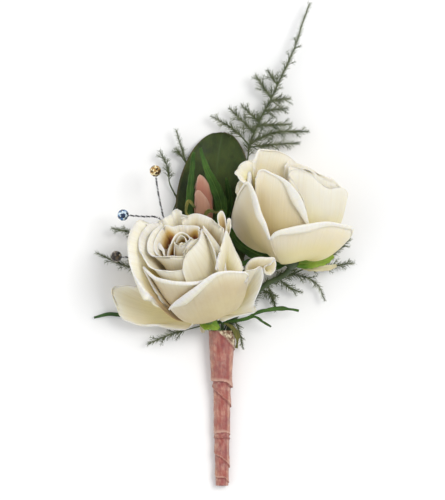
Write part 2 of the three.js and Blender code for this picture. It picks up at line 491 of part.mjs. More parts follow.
// A leaf or sepal along its spine, folded up along the middle and narrowing to its tip
function leafSurface({ spine, wide, fold, blunt = 0.8 }, widest) {
  const curve = new THREE.CatmullRomCurve3(spine.map(vec));
  return (u, v) => {
    const tangent = curve.getTangent(v);
    const side = tangent.clone().cross(UP).normalize();
    const normal = side.clone().cross(tangent).normalize();
    const share = v < widest ? v / widest : (1 - v) / (1 - widest);
    const half = LEAF_TIP + wide * Math.sin((Math.PI / 2) * share) ** blunt;
    const point = curve.getPoint(v)
      .addScaledVector(side, u * half)
      .addScaledVector(normal, fold * Math.abs(u) * half);
    return { point, normal };
  };
}

function calyx(frame, sepals, stem) {
  const { radius, length } = frame.hip;
  const profile = [[0, -length], [stem.radius, -length], [radius, -length * HIP_WIDEST],
    [radius * HIP_MOUTH, -HIP_GAP], [0, -HIP_GAP]].map(([x, y]) => new THREE.Vector2(x, y));
  const hip = toSolid(along(frame, new THREE.LatheGeometry(profile, 8)));
  const middle = frame.base.clone().addScaledVector(frame.axis, -HIP_WIDEST * length).toArray();
  const blades = sepals.map(({ widest = 0.4, ...sepal }) => {
    const spine = [middle, ...sepal.spine];
    const along = Math.max(6, Math.round(lengthOf(spine) / SEPAL_STEP));
    return blade(leafSurface({ ...sepal, spine }, widest), 2, along, BLADE_THICK);
  });
  return fuse([hip, rod(stem.points, stem.radius, 6), ...blades]);
}

// Fern sprays: slim stems with needles set round them by the golden angle, out to every tip
function fern(branches) {
  const solids = [];
  for (const { route, bare, fat = 1, size = 1 } of branches) {
    const curve = new THREE.CatmullRomCurve3(route.map(vec));
    const length = curve.getLength();
    solids.push(rod(route, FERN_STEM_RADIUS * fat, 4));
    const count = Math.round((length * (1 - bare)) / NEEDLE_SPACING);
    for (let i = 0; i < count; i++) {
      const v = bare + ((1 - bare) * (i + 0.5)) / count;
      const long = NEEDLE_LENGTH * size * lerp(1, 0.6, v ** 3);
      solids.push(needle(curve, v, radians(i * GOLDEN_ANGLE), long));
    }
    solids.push(needle(curve, 1, null, NEEDLE_LENGTH * size * 0.7));
  }
  return fuse(solids);
}

function needle(curve, v, turn, length) {
  const tangent = curve.getTangentAt(v);
  const side = tangent.clone().cross(UP).normalize();
  const lift = side.clone().cross(tangent).normalize();
  const spread = turn === null ? 0 : radians(NEEDLE_SPREAD);
  const out = side.multiplyScalar(Math.cos(turn ?? 0)).addScaledVector(lift, Math.sin(turn ?? 0));
  const way = tangent.clone().multiplyScalar(Math.cos(spread)).addScaledVector(out, Math.sin(spread));
  const cone = new THREE.ConeGeometry(NEEDLE_RADIUS, length, 3, 1);
  cone.translate(0, length / 2, 0);
  cone.applyQuaternion(new THREE.Quaternion().setFromUnitVectors(new THREE.Vector3(0, 1, 0), way));
  const root = curve.getPointAt(v);
  cone.translate(root.x, root.y, root.z);
  return toSolid(cone);
}

// Ribbon and the bundle it binds
function wrapRadius(y) {
  return y > WRAP_WAIST
    ? lerp(WRAP_RADIUS_WAIST, WRAP_RADIUS_TOP, smooth((y - WRAP_WAIST) / (WRAP_TOP - WRAP_WAIST)))
    : lerp(WRAP_RADIUS_END, WRAP_RADIUS_WAIST, (y - WRAP_END) / (WRAP_WAIST - WRAP_END));
}

const axisHeight = (y) => wrapRadius(y) - WRAP_FLAT;

// Moves each vertex of a shape turned round the Y axis to the bundle's own line
function layOnBundle(geometry, reshape) {
  const place = geometry.attributes.position;
  for (let i = 0; i < place.count; i++) {
    const [x, y, z] = [place.getX(i), place.getY(i), place.getZ(i)];
    const radius = Math.hypot(x, z);
    const scale = radius > 0 ? reshape(radius, y, Math.atan2(x, z)) / radius : 1;
    place.setXYZ(i, x * scale, y, Math.max(0, axisHeight(y) + z * scale));
  }
  return geometry;
}

function ribbonWrap() {
  const ROWS = 25;
  const inner = (y) => wrapRadius(y) - RIBBON_THICK;
  const profile = [];
  for (let j = 0; j <= ROWS; j++) {
    const y = lerp(WRAP_END, WRAP_TOP, j / ROWS);
    profile.push(new THREE.Vector2(wrapRadius(y), y));
  }
  for (let j = 4; j >= 0; j--) {
    const y = lerp(WRAP_END, WRAP_TOP, j / 4);
    profile.push(new THREE.Vector2(inner(y), y));
  }
  profile.push(profile[0].clone());
  const ridge = (y, angle) => {
    const phase = y / RIBBON_PITCH + angle / (2 * Math.PI);
    return RIBBON_RIDGE * (phase - Math.floor(phase));
  };
  const isOuter = (radius, y) => radius > wrapRadius(y) - RIBBON_THICK / 2;
  return toSolid(layOnBundle(new THREE.LatheGeometry(profile, 14), (radius, y, angle) => (
    isOuter(radius, y) ? radius + ridge(y, angle) : radius)));
}

function stemBundle(stems) {
  const radiusAt = (y) => wrapRadius(y) - RIBBON_THICK - BUNDLE_GAP;
  const ys = [0, 0.25, 0.5, 0.75, 1].map((share) => lerp(CORE_END, CORE_TOP, share));
  const profile = [new THREE.Vector2(0, CORE_END), ...ys.map((y) => new THREE.Vector2(radiusAt(y), y)),
    new THREE.Vector2(0, CORE_TOP)];
  let bundle = toSolid(layOnBundle(new THREE.LatheGeometry(profile, 12), (radius) => radius));
  for (const { points, radius } of stems) {
    const [before, end] = points.slice(-2).map(vec);
    const beyond = end.clone().sub(before).setLength(CLEARANCE).add(end).toArray();
    const route = [...points.slice(0, -1), beyond];
    bundle = bundle.subtract(rod(route, radius + CLEARANCE, 6, stepsAlong(points)));
  }
  return bundle;
}

function crystalBead(centre, wire) {
  const bead = new THREE.IcosahedronGeometry(BEAD_RADIUS, 1);
  bead.translate(...centre);
  const [start, next] = [vec(wire[0]), vec(wire[1])];
  const away = start.clone().sub(next).setLength(CLEARANCE).add(start);
  const hole = [away, start, next].map((p) => p.toArray());
  return toSolid(bead).subtract(rod(hole, WIRE_RADIUS + CLEARANCE, 6, 2));
}

// Assembly
const group = new THREE.Group();

function piece(name, solid, color, roughness = 0.6, metalness = 0) {
  const finish = new THREE.MeshStandardMaterial({ color, roughness, metalness });
  const mesh = new THREE.Mesh(toGeometry(solid), finish);
  mesh.name = name;
  group.add(mesh);
}

const openFrame = bloomFrame(OPEN_ROSE);
piece('rose_open_petals', bloom(openFrame, OPEN_PETALS), COLORS.cream);
piece('rose_open_calyx', calyx(openFrame, OPEN_SEPALS, STEMS.openRose), COLORS.calyx);

const halfFrame = bloomFrame(HALF_ROSE);
piece('rose_half_petals', bloom(halfFrame, HALF_PETALS), COLORS.cream);
piece('rose_half_calyx', calyx(halfFrame, HALF_SEPALS, STEMS.halfRose), COLORS.calyx);

const budFrame = bloomFrame(BUD);
piece('bud_petals', bloom(budFrame, BUD_PETALS), COLORS.budPetal);
piece('bud_calyx', calyx(budFrame, BUD_SEPALS, STEMS.bud), COLORS.calyx);

piece('leaf_sprig', fuse([blade(leafSurface(LARGE_LEAF, 0.5), 6, 8, BLADE_THICK),
  blade(leafSurface(SLENDER_LEAF, 0.5), 2, 8, BLADE_THICK),
  rod(STEMS.leaf.points, STEMS.leaf.radius, 6),
  rod(SLENDER_TWIG.points, SLENDER_TWIG.radius, 5)]), COLORS.leaf);

const ferns = { tall: FERN_TALL, left: FERN_LEFT, right: FERN_RIGHT };
for (const [name, branches] of Object.entries(ferns)) piece(`fern_${name}`, fern(branches), COLORS.fern);

for (const { name, color, bead, wire } of PICKS) {
  const centre = vec(bead);
  const start = vec(wire[0]).sub(centre).setLength(BEAD_RADIUS - BEAD_HOLE_DEPTH).add(centre);
  const route = [start.toArray(), ...wire];
  piece(`wire_${name}`, rod(route, WIRE_RADIUS, 5), COLORS.wire, 0.35, 0.8);
  piece(`bead_${name}`, crystalBead(bead, route), color, 0.1);
}

const fernStems = Object.values(ferns).map(([main]) => (
  { points: [...main.route].reverse(), radius: FERN_STEM_RADIUS * (main.fat ?? 1) }));
const wireStems = PICKS.map(({ wire }) => ({ points: wire, radius: WIRE_RADIUS }));
piece('stem_bundle', stemBundle([...Object.values(STEMS), ...fernStems, ...wireStems]), COLORS.tape, 0.8);
piece('ribbon_wrap', ribbonWrap(), COLORS.ribbon, 0.4);

export default group;
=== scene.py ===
# A boutonniere lying on a white table: an open rose, a half-open rose and a bud over a leathery
# leaf and asparagus fern, with crystal picks, the stems bound in pink satin ribbon.
# Shapes are worked out in millimetres and scaled to metres as each piece is finished.
import math
import random

import bmesh
import bpy
from mathutils import Matrix, Vector, noise


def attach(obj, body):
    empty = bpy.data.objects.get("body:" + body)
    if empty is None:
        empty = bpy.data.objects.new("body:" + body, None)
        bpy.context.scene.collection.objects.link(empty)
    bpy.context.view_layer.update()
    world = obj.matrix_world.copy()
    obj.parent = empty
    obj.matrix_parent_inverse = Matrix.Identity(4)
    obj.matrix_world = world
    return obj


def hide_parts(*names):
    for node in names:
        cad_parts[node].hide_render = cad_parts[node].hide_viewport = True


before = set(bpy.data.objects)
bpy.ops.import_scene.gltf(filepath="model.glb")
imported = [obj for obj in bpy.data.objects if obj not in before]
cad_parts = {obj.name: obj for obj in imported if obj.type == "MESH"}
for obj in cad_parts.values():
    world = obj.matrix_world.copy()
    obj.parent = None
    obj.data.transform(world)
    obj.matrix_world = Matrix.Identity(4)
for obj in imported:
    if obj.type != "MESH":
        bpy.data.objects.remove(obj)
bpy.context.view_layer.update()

MM = 0.001
UP = Vector((0, 0, 1))

# The camera looks straight down on a point of the table. Its view is as long as the photograph at
# the height where the photograph's scale holds.
CAMERA_HEIGHT = 2.0
LOOK_AT = (0.175 * MM, 54.25 * MM)
SCALE_HEIGHT = 12 * MM
VIEW_LENGTH = 500 * 0.35 * MM
SENSOR = 36
TABLE_HALF_WIDTH = 3
# Each sun: its strength, its spread in degrees, its colour and the way to it
SUNS = {
    "key": (1.5, 28, (1, 0.985, 0.95), (0.58, 0.3, 1)),
    "fill": (0.45, 70, (1, 0.94, 0.84), (-1, 0.1, 0.8)),
}
SKY_COLOR = (0.95, 0.97, 1)
SKY_STRENGTH = 0.74

# How finely a curve, a petal's rim and a blade's spine are followed
CURVE_STEPS = 24
RIM_STEPS = 80
SPINE_STEPS = 120

# How far a petal's foot stands above its bloom's base, and what share of the way to the rim each end
# of its curve takes; for a petal with a waist, where on its way the curve's middle points stand, and
# how much the second is raised
FOOT_LIFT = 0.6
BOW_REACH = 0.4
WAIST_LEAVING = 0.12
WAIST_MEETING = 0.6
WAIST_CROWN = 0.12
# The share of a petal's length where its lip starts, and the share of the lip that is rolled
LIP_STARTS = 0.76
ROLL_SHARE = 0.7
# A petal that reaches its rim nearly along it, by this measure, rolls straight on
LEAST_ACROSS = 0.15
# Sizes of a petal's waves and of the finer ones, where its ruffle is 1, and of its slow swell
WAVE = 2.6
FINE_WAVE = 0.9
SWELL = 0.5
PETAL_THICK = 0.26

# Each bloom: where its petals start, the plan angle of its axis from +Y towards +X, its rise, and
# the radius that its petals leave from
OPEN_ROSE = {"base": (-5, 32.5, 11), "heading": -21, "rise": 40, "foot": 2.2}
HALF_ROSE = {"base": (24.5, 52.4, 12.6), "heading": 3, "rise": 18, "foot": 2.2}
BUD = {"base": (-6.2, 62.5, 10.2), "heading": -2, "rise": 12, "foot": 1}

# Petals. Each value but the waist and the ruffle is one number, or several at even steps along the
# rim, from its left to its right as seen from above.
# rim: points along the petal's outline; a line from the foot to each of them bows outwards.
# widen, steepen: degrees by which such a line leaves the foot wider, and meets the rim steeper, than
# the straight way. waist: the place through which a petal with a narrow claw spreads, in their stead.
# lip, curl: radius of the rolled rim and the degrees it rolls through. flap: width of the flat part
# beyond the roll. ruffle: size of the rim's waves.
# tan: warmth of the petal's body. gold (and shade): how golden it is below its rim, partly its real golden
# base and partly painted warm shade in the cup, and deeper down how dark the painted brown shade of its
# recesses is.
OPEN_PETALS = {
    "guard": {"widen": 20, "steepen": 22, "lip": 0.15, "curl": 60, "ruffle": 0.5,
        "rim": [(-9.5, 29.4, 11), (-12.2, 26.8, 9.8), (-23.6, 28, 9), (-34.5, 29.8, 9), (-36.9, 34.8, 10),
                (-38.4, 40.7, 11), (-31, 41.7, 12), (-25, 39.5, 12.5)]},
    "left": {"widen": (15, 62, 40, 0, -5, 0), "steepen": (10, 30, 10, -30, -35, -20),
        "lip": (0.3, 0.4, 0.3, 0.12, 0.12), "curl": (165, 115, 115, 60, 60), "flap": (0.4, 2, 0.9, 0, 0),
        "ruffle": 0.7, "tan": (0.9, 0.6, 0.3, 0.2, 0.2), "gold_and_shade": (0.5, 0.5, 0.1, 0.05, 0.05),
        "rim": [(-18.5, 33.7, 18), (-22.4, 36.4, 25), (-26.3, 39.5, 29.5), (-29.6, 45, 32),
                (-31.3, 49.5, 31.5), (-32.6, 56.6, 27.5), (-31.3, 62, 24), (-28.7, 64.5, 21.5),
                (-25.5, 63.6, 21)]},
    "back left": {"widen": 10, "steepen": -25, "lip": 0.15, "curl": 60, "ruffle": 0.6,
        "rim": [(-26.3, 63, 22), (-20.5, 64.9, 22.5), (-17.3, 67.1, 22.5), (-16.2, 68.4, 22),
                (-14.2, 66.7, 24.5), (-11.9, 65.9, 25.5)]},
    "back right": {"widen": 22, "steepen": -16, "lip": (0.15, 0.2), "curl": 60, "ruffle": 0.6,
        "gold_and_shade": (0.3, 0.6, 0.5, 0.3, 0.1),
        "rim": [(-14.2, 65.1, 26), (-9.5, 66.6, 27), (-5.6, 65.7, 29), (-1.7, 63.6, 31.5),
                (0.25, 61, 33.5), (1, 57.5, 35), (-0.7, 54.4, 35)]},
    "curled tip": {"waist": (0.8, 57, 28), "lip": 0.12, "curl": 60, "tan": 1.4,
        "rim": [(-0.5, 60, 30.5), (-1.4, 64.6, 29.5), (-1.2, 66.8, 29), (-0.1, 67.7, 28.8),
                (0.8, 66.3, 29.2), (1.4, 63, 30), (1.6, 59.5, 30.5)]},
    "tip margin": {"waist": (1.9, 56.5, 29.5), "lip": 0.15, "curl": 60,
        "rim": [(1.3, 59, 31.3), (1.7, 62.5, 30.6), (2.2, 65, 29.9), (2.8, 65, 29.7), (2.8, 62.5, 30.3),
                (2.5, 59, 31)]},
    "ring": {"widen": (5, 5, 20, 50, 55), "steepen": (-30, -30, -15, 20, 30),
        "lip": (0.12, 0.2, 0.3, 0.15), "curl": 110, "ruffle": 0.25, "gold_and_shade": 0.15,
        "rim": [(-22.4, 63.9, 22), (-25.9, 62.6, 23), (-28.1, 59.8, 25), (-28.7, 56.7, 27.5),
                (-27.9, 53.2, 30.5), (-25.7, 49.7, 33.5), (-22.8, 47.7, 35.5), (-19.7, 47, 37),
                (-15.8, 46.9, 37.6), (-13, 47.6, 37.4), (-11.6, 49.4, 35.5)]},
    "second ring": {"widen": (10, 10, 20, 50, 55), "steepen": (-25, -25, -10, 20, 30),
        "lip": (0.1, 0.15, 0.1), "curl": 100, "ruffle": 0.2, "gold_and_shade": 0.2,
        "rim": [(-20.8, 63.2, 23.5), (-23.8, 60.8, 25.5), (-25.5, 57.5, 27.3), (-25.6, 54.6, 30),
                (-24.2, 52.4, 32.5), (-21.6, 51.9, 34), (-17.3, 52, 35.3), (-13, 52, 36), (-11, 53.5, 34)]},
    "third ring": {"widen": 20, "steepen": -10, "lip": 0.1, "curl": 90, "ruffle": 0.2,
        "gold_and_shade": (2.4, 1.6, 1.1, 0.7, 1.2, 2.4),
        "rim": [(-19.4, 63, 25), (-21.2, 61, 25.6), (-22.6, 58.8, 26.6), (-23.4, 57.1, 27.3),
                (-23.6, 54.4, 28.5), (-22.4, 52.6, 29.5), (-19.5, 51.5, 30)]},
    "small flame": {"widen": 40, "steepen": 20, "lip": 0.25, "curl": 110, "flap": (0.5, 1.1, 0.5),
        "gold_and_shade": 0.4,
        "rim": [(-22, 52.4, 28), (-22.1, 54.4, 27.5), (-21.4, 56.4, 27), (-20.5, 54.8, 27.5),
                (-19.5, 52.4, 28)]},
    "inner back": {"widen": 6, "steepen": -20, "lip": 0.15, "curl": 80, "ruffle": 0.5,
        "gold_and_shade": (2.6, 2, 0.6, 0.4, 1.4, 4, 5),
        "rim": [(-20.5, 61.5, 25), (-19.7, 62.8, 25), (-17.3, 62, 25.5), (-14.6, 62.6, 26),
                (-11.9, 62.4, 27), (-9.1, 62.2, 28.5), (-7.6, 60.6, 30.5)]},
    "swirl": {"widen": 45, "steepen": 20, "lip": (0.2, 0.15), "curl": 80, "gold_and_shade": 1.5,
        "rim": [(-18.5, 51.5, 28), (-18.2, 54.8, 29), (-17.2, 57.5, 29.5), (-15.8, 59.4, 29.8),
                (-14, 60.3, 30), (-12.2, 59.4, 31.2), (-11.2, 57.7, 32.5), (-11, 56, 33)]},
    "inner swirl": {"widen": 40, "steepen": 20, "lip": 0.12, "curl": 80, "gold_and_shade": 2,
        "rim": [(-16.6, 51.5, 29), (-16.4, 55.2, 30), (-15.6, 57.9, 30.5), (-14, 59.2, 31),
                (-12.7, 58.3, 32), (-12.3, 56.3, 33)]},
    "swirl front": {"widen": 45, "steepen": 30, "lip": 0.12, "curl": 80, "gold_and_shade": 0.7,
        "rim": [(-16.4, 57, 30), (-15.9, 55.9, 31.3), (-14.6, 55.6, 32.5), (-13.2, 56, 33.2),
                (-11.9, 57.2, 33.3), (-10.8, 58.6, 32.5)]},
    "white inner right": {"widen": 56, "steepen": 32, "lip": (0.2, 0.3, 0.15), "curl": 100, "ruffle": 0.1,
        "tan": 0,
        "rim": [(-13.6, 47, 38.6), (-13.3, 49.7, 38.4), (-12.4, 52.2, 38), (-10.4, 54.6, 37.4),
                (-8.4, 56.7, 36.4), (-7.4, 58.9, 34.8), (-6.8, 61.4, 32.8), (-5.4, 59.8, 33.6),
                (-4.1, 57, 35), (-2.8, 53.4, 36.4), (-1.4, 47.5, 38)]},
    "beak": {"widen": 45, "steepen": 25, "lip": 0.15, "curl": 80, "gold_and_shade": 0.6,
        "rim": [(-13.5, 53, 34.5), (-12, 55.5, 34.8), (-10.5, 57.2, 34.8), (-8.6, 57.9, 34.5),
                (-7.9, 58.6, 33.5), (-8.4, 60, 32)]},
    "right inner": {"waist": (-3.5, 44, 32), "lip": 0.12, "curl": 80, "ruffle": 0.12, "tan": 0.1,
        "rim": [(-6.6, 62.5, 29.8), (-5, 60.6, 31.5), (-2.8, 57.9, 33), (-0.9, 55.2, 34),
                (0.6, 51.5, 34.8), (1.4, 47, 35)]},
    "triangle": {"waist": (2.6, 43, 35), "lip": (0.15, 0.1, 0.1), "curl": 80, "tan": 0,
        "rim": [(-2.2, 47.5, 37.6), (-1.4, 51.3, 37.3), (-0.1, 55.7, 36.4), (0.8, 58.6, 35.4),
                (1.5, 60.9, 34.4), (2.5, 58.9, 34), (4.1, 55.2, 32.8), (5.8, 51.3, 32.4), (7.4, 47.5, 32)]},
    "curled lobe": {"waist": (11.6, 46, 28.2), "lip": (0.2, 0.2, 0.3), "curl": 100, "tan": 0.4,
        "rim": [(8.1, 46.4, 29.5), (8.6, 48.9, 30), (10.4, 50.9, 30.6), (12.8, 51.5, 31),
                (15.5, 51.4, 31.4), (18, 51.3, 31.6), (16.8, 49.6, 31.2), (14.6, 48.4, 30.4)]},
    "lobe flap": {"waist": (16.4, 49.8, 30.8), "lip": 0.15, "curl": 60,
        "rim": [(18.2, 51.2, 31.7), (18.6, 49, 30.8), (18, 46.8, 29.8), (16.6, 45.6, 29.4),
                (15, 46.3, 29.6), (14.4, 48, 30.4)]},
    "front left": {"widen": 34, "steepen": 18, "lip": (0.08, 0.12, 0.28, 0.32), "curl": 165,
        "flap": (0, 0, 0.9, 0.6), "ruffle": 0.12, "tan": 1,
        "rim": [(-18.5, 33.9, 17), (-22.4, 38.8, 26), (-25.5, 44.6, 30), (-27.3, 48.6, 31),
                (-25.7, 47.1, 33), (-22.8, 44.8, 35), (-18.9, 43.8, 36.6), (-14.2, 43.2, 37.6),
                (-8, 43.2, 37), (-4.5, 44.5, 35.5)]},
    "flare": {"widen": 40, "steepen": 10, "lip": (0.15, 0.2, 0.15, 0.15), "curl": 90, "ruffle": 0.15,
        "tan": (0, 0, 0.2),
        "rim": [(4, 45, 33), (8.5, 47, 33.5), (11.2, 47.6, 32.5), (13.1, 48.7, 31), (13.9, 46.9, 30),
                (14, 44.6, 28.5), (13.1, 41.3, 26), (11.8, 38, 23), (11, 36, 21), (11.3, 34.4, 19.5),
                (12, 32.9, 18), (9, 32.2, 16.5), (6.9, 31.7, 15.5), (2.5, 30.2, 13), (-0.1, 29.1, 11.5)]},
    "front right": {"widen": (62, 62, 62, 40, 4), "steepen": (30, 30, 30, 16, 4),
        "lip": (0.25, 0.3, 0.25, 0.2, 0.1, 0.1, 0.1), "curl": 172,
        "flap": (0.2, 2.8, 1.7, 0.2, 0.1, 0, 0), "ruffle": 0.1, "tan": 0.7,
        "rim": [(-18.3, 33.7, 24), (-15.8, 36.4, 30.5), (-11.9, 39.5, 35), (-8, 42.3, 38),
                (-5.2, 44.6, 39.4), (-2.1, 46.4, 40), (1.5, 47, 39.5), (5.4, 46.8, 38), (8.5, 46.4, 36),
                (9.2, 45, 34.5), (7, 42, 32), (4, 38, 28), (1.4, 34, 23), (-1.3, 29.8, 16)]},
}

HALF_PETALS = {
    "back right": {"widen": 46, "steepen": 14, "lip": 0.15, "curl": 70, "ruffle": 0.3, "tan": 0, "gold_and_shade": 0,
        "rim": [(21.5, 83, 32), (23.1, 85, 31), (26.9, 83.9, 30), (30.1, 82.8, 28.5), (33.3, 80.8, 27),
                (36, 79.8, 26), (38.4, 78.8, 25), (39.8, 77.5, 24), (41.6, 75.6, 22.5), (42.5, 72, 19)]},
    "under left": {"widen": 60, "steepen": 20, "lip": 0.2, "curl": 60, "ruffle": 0.3, "tan": 1,
        "rim": [(9.5, 80, 30.5), (7, 79, 30), (5.4, 76.8, 29), (4.9, 74, 26), (6, 77, 16), (10, 82, 8),
                (17, 84, 5), (26, 80, 4)]},
    "under": {"widen": 62, "steepen": 20, "lip": 0.2, "curl": 60, "ruffle": 0.3,
        "rim": [(14, 81, 9), (20, 84, 8), (27, 84, 9), (34, 80.5, 11), (39, 75.5, 13), (40, 70, 9)]},
    "top": {"widen": 62, "steepen": 28, "lip": (0.6, 0.7, 0.3, 0.2, 0.2), "curl": 150,
        "flap": (1, 1, 0.2, 0, 0), "ruffle": 0.3, "tan": 0.1, "gold_and_shade": 0.12,
        "rim": [(10.2, 75, 32), (10.6, 81, 32.5), (11.7, 85.5, 32), (13.2, 88.9, 31), (14.8, 88.8, 30.5),
                (18.6, 88.6, 29.5), (23.1, 86.6, 29), (26, 84, 28.5)]},
    "ruffled right": {"widen": 60, "steepen": 25, "lip": 0.15, "curl": 80, "ruffle": 0.25, "tan": 0,
        "gold_and_shade": 0,
        "rim": [(23, 83, 34), (26, 82.6, 33.6), (30, 81.8, 32.5), (33.5, 79.6, 31), (36.5, 78.2, 29),
                (39.4, 76.9, 27), (41.8, 75.4, 24.5), (42.4, 73, 21)]},
    "right": {"widen": 60, "steepen": 30, "lip": 0.2, "curl": 90, "ruffle": 0.25, "tan": 0.2, "gold_and_shade": 0,
        "rim": [(29.7, 63.5, 32.5), (28.4, 70.3, 35), (25.7, 76.2, 36), (23, 80.2, 36),
                (24.5, 81.8, 35.2), (28.2, 81.6, 34.4), (31.4, 79.6, 33.4), (34, 77.2, 32),
                (37.2, 75.4, 30), (40.5, 76, 27), (43.4, 74.2, 24), (43.2, 71.4, 22), (41.6, 68.8, 20),
                (41.2, 64.5, 17)]},
    "middle": {"widen": 62, "steepen": 30, "lip": (0.12, 0.12, 0.2, 0.35, 0.3), "curl": 175,
        "flap": (0, 0, 0.4, 3, 0.6), "ruffle": 0.08, "tan": 0.7, "gold_and_shade": 0.1,
        "rim": [(12.1, 64, 29), (11.6, 74.8, 33), (12, 79.9, 34.5), (12.9, 81.8, 34.7), (14.7, 82, 35),
                (17.3, 80.7, 35.6), (19.9, 79.5, 36.3), (22.4, 77.9, 36.8), (24.8, 75.3, 36.8),
                (27.2, 71.8, 36), (28.5, 68.6, 34.8), (29.4, 64.8, 33), (29.6, 61.9, 31)]},
    "left": {"widen": (74, 74, 60, 40, 25), "steepen": 34, "lip": (0.4, 0.5, 0.3, 0.12, 0.08),
        "curl": 165, "flap": (0.6, 2, 0.6, 0, 0), "ruffle": 0.12, "tan": 0.5,
        "rim": [(16.9, 58.2, 33.5), (15.4, 62.9, 35.8), (13.4, 67.7, 36.5), (11.7, 73.5, 35.8),
                (9.9, 77.3, 34.6), (8.8, 77.7, 34), (7.2, 75.8, 31.5), (5.9, 73.5, 28.5), (4.8, 70.6, 25),
                (4, 68, 22), (3.6, 65, 19), (3.9, 62, 16.5), (5.4, 59, 14)]},
    "white lobe": {"waist": (9.6, 79.6, 32.6), "lip": (0.25, 0.3, 0.25), "curl": 120, "tan": 0, "gold_and_shade": 0,
        "rim": [(11, 82, 34.4), (10.5, 84.6, 34), (8.6, 84.8, 33.6), (6.5, 83.5, 33), (5.6, 81.9, 32.6),
                (4.8, 81, 32.2), (5.7, 80.2, 32.4), (6.3, 79, 32.6), (7.4, 77.8, 33), (9, 77.2, 33.6)]},
    "lower right": {"widen": (78, 62, 60), "steepen": 30, "lip": (0.35, 0.4, 0.3, 0.2, 0.15), "curl": 168,
        "flap": (0.8, 2.4, 1, 0.2, 0), "ruffle": 0.2, "tan": 0.2,
        "rim": [(16.8, 58.2, 33), (18.6, 60.5, 35.3), (23.7, 62, 36.5), (28.2, 62.9, 35.8),
                (32, 63.4, 34), (36.5, 63.8, 31.5), (38.8, 63.6, 30), (41, 63.2, 29), (43.6, 62.6, 27.5),
                (45.2, 62.1, 25.5), (44.6, 59, 22), (40.8, 55.4, 18), (36.5, 53.4, 14.5), (33, 52, 12)]},
}

BUD_PETALS = {
    "under": {"widen": 35, "steepen": 15, "lip": 0.15, "curl": 40, "tan": 0.3,
        "rim": [(-9.2, 72, 13), (-9.3, 76, 11.8), (-7.6, 79.5, 11.5), (-4.8, 77, 11), (-3.3, 73, 11)]},
    "upper": {"widen": 35, "steepen": 15, "lip": 0.15, "curl": 60, "tan": 0.9,
        "rim": [(-9, 70, 13.2), (-8.7, 77.5, 15), (-7.9, 80.4, 15.3), (-6.9, 80, 15.6),
                (-5.4, 78.2, 15.7), (-4.3, 75.5, 15), (-3.4, 71.5, 13)]},
    "lower": {"widen": 35, "steepen": 15, "lip": 0.15, "curl": 60, "tan": 0.1,
        "rim": [(-9.1, 69, 14), (-9, 74.5, 15.5), (-7.9, 75, 16.2), (-6.6, 73.8, 16.8),
                (-5.2, 71.8, 16.6), (-4.4, 69.5, 15.6), (-4.6, 67, 14.5)]},
}

# Sepals and leaves follow a spine of points. wide: half width that is added at the widest place to
# slim, the least half width. widest: where that is, as a share of the length. blunt: the lower, the
# fuller the ends. fold: how far the sides stand up. skin: which of the calyx's materials it has.
STALK, LIME, PALE, OLIVE = 1, 2, 3, 4
SEPAL_THICK = 0.32
HIP_GAP = 0.3
OPEN_SEPALS = [
    {"spine": [(-5.6, 28.8, 10.4), (-3.4, 28, 11.2), (-1.2, 26.6, 10.2)],
     "wide": 1.8, "fold": 0.5, "skin": LIME},
    {"spine": [(-1, 29, 8), (4.5, 29.4, 8.3), (8.4, 30.3, 8.2), (11.9, 32, 8), (14.7, 32.9, 7.6),
               (18.5, 33.6, 7), (22, 33.8, 6.4), (24.5, 33.3, 5.9), (27, 32.9, 5.4)],
     "wide": 0.5, "fold": 0.3, "blunt": 7, "widest": 0.8, "slim": 0.28},
    {"spine": [(2, 29.3, 8), (8.4, 30, 8.1), (11.4, 31, 7.7), (14.2, 29.3, 6.6), (17.2, 27.2, 5.6)],
     "wide": 0, "fold": 0, "slim": 0.26},
    {"spine": [(0.6, 28.9, 8), (3.6, 27.2, 7.8), (5.2, 24.6, 7.2), (5.4, 22, 6.4), (5, 19.8, 5.8)],
     "wide": 0.6, "fold": 0.3, "widest": 0.72, "blunt": 5, "slim": 0.2, "skin": OLIVE},
    {"spine": [(-5.8, 29, 9), (-6.8, 27.4, 8.6), (-6.5, 25.2, 7.2)],
     "wide": 0.5, "fold": 0.3, "skin": PALE},
]
HALF_SEPALS = [
    {"spine": [(26.4, 49.5, 11.6), (29.6, 49.6, 12), (33, 50, 11.4), (36, 50.4, 10.6), (39.2, 52, 9.8)],
     "wide": 1.5, "fold": 0.35, "skin": LIME},
    {"spine": [(30, 48.6, 10.4), (34.5, 48, 9.4), (38, 48.2, 9), (40.2, 48.8, 8.8)],
     "wide": 1.1, "fold": 0.3, "skin": PALE},
    {"spine": [(17.6, 51, 10.2), (11, 53.4, 9), (5.6, 57, 8.8), (2.4, 62.6, 9.4)], "wide": 1.8, "fold": 0.3},
    {"spine": [(17, 48.6, 8.4), (11, 50, 7.6), (5, 49, 8.4)], "wide": 1.2, "fold": 0.3},
]
BUD_SEPALS = [
    {"spine": [(-9.8, 61.4, 9.2), (-11.2, 66, 10.8), (-10.8, 78, 12.8), (-9.8, 88.5, 14.5)],
     "wide": 0.9, "fold": 0.4},
    {"spine": [(-2.4, 61.2, 9.2), (-0.9, 64.5, 10.2), (-0.2, 69.5, 12), (-2.2, 76, 14), (-5.4, 82.6, 16.6),
               (-7.6, 90, 16.4)],
     "wide": 1.7, "fold": 0.4, "blunt": 1.3},
    {"spine": [(-1.4, 62, 8), (2.4, 71, 8.8), (1.4, 79.5, 11)], "wide": 1.1, "fold": 0.3},
    {"spine": [(-6.6, 65, 15.6), (-4.6, 67.9, 17.6), (-2, 67.4, 17.8), (0.4, 68, 16.8)],
     "wide": 0.25, "fold": 0.2, "slim": 0.22, "skin": OLIVE},
    {"spine": [(-9.8, 64, 13), (-12.6, 67.6, 13.6), (-11.6, 71.4, 14.2), (-9.4, 69.2, 15.4)],
     "wide": 0.2, "fold": 0.2, "slim": 0.22, "skin": OLIVE},
]
LARGE_LEAF = {
    "spine": [(-1.6, 41, 1.9), (-2.6, 52, 2.5), (-2.8, 70, 3.1), (-1.5, 84, 3), (0.2, 95.6, 0.7)],
    "wide": 13.2, "fold": 0.05, "blunt": 0.45, "widest": 0.5,
}
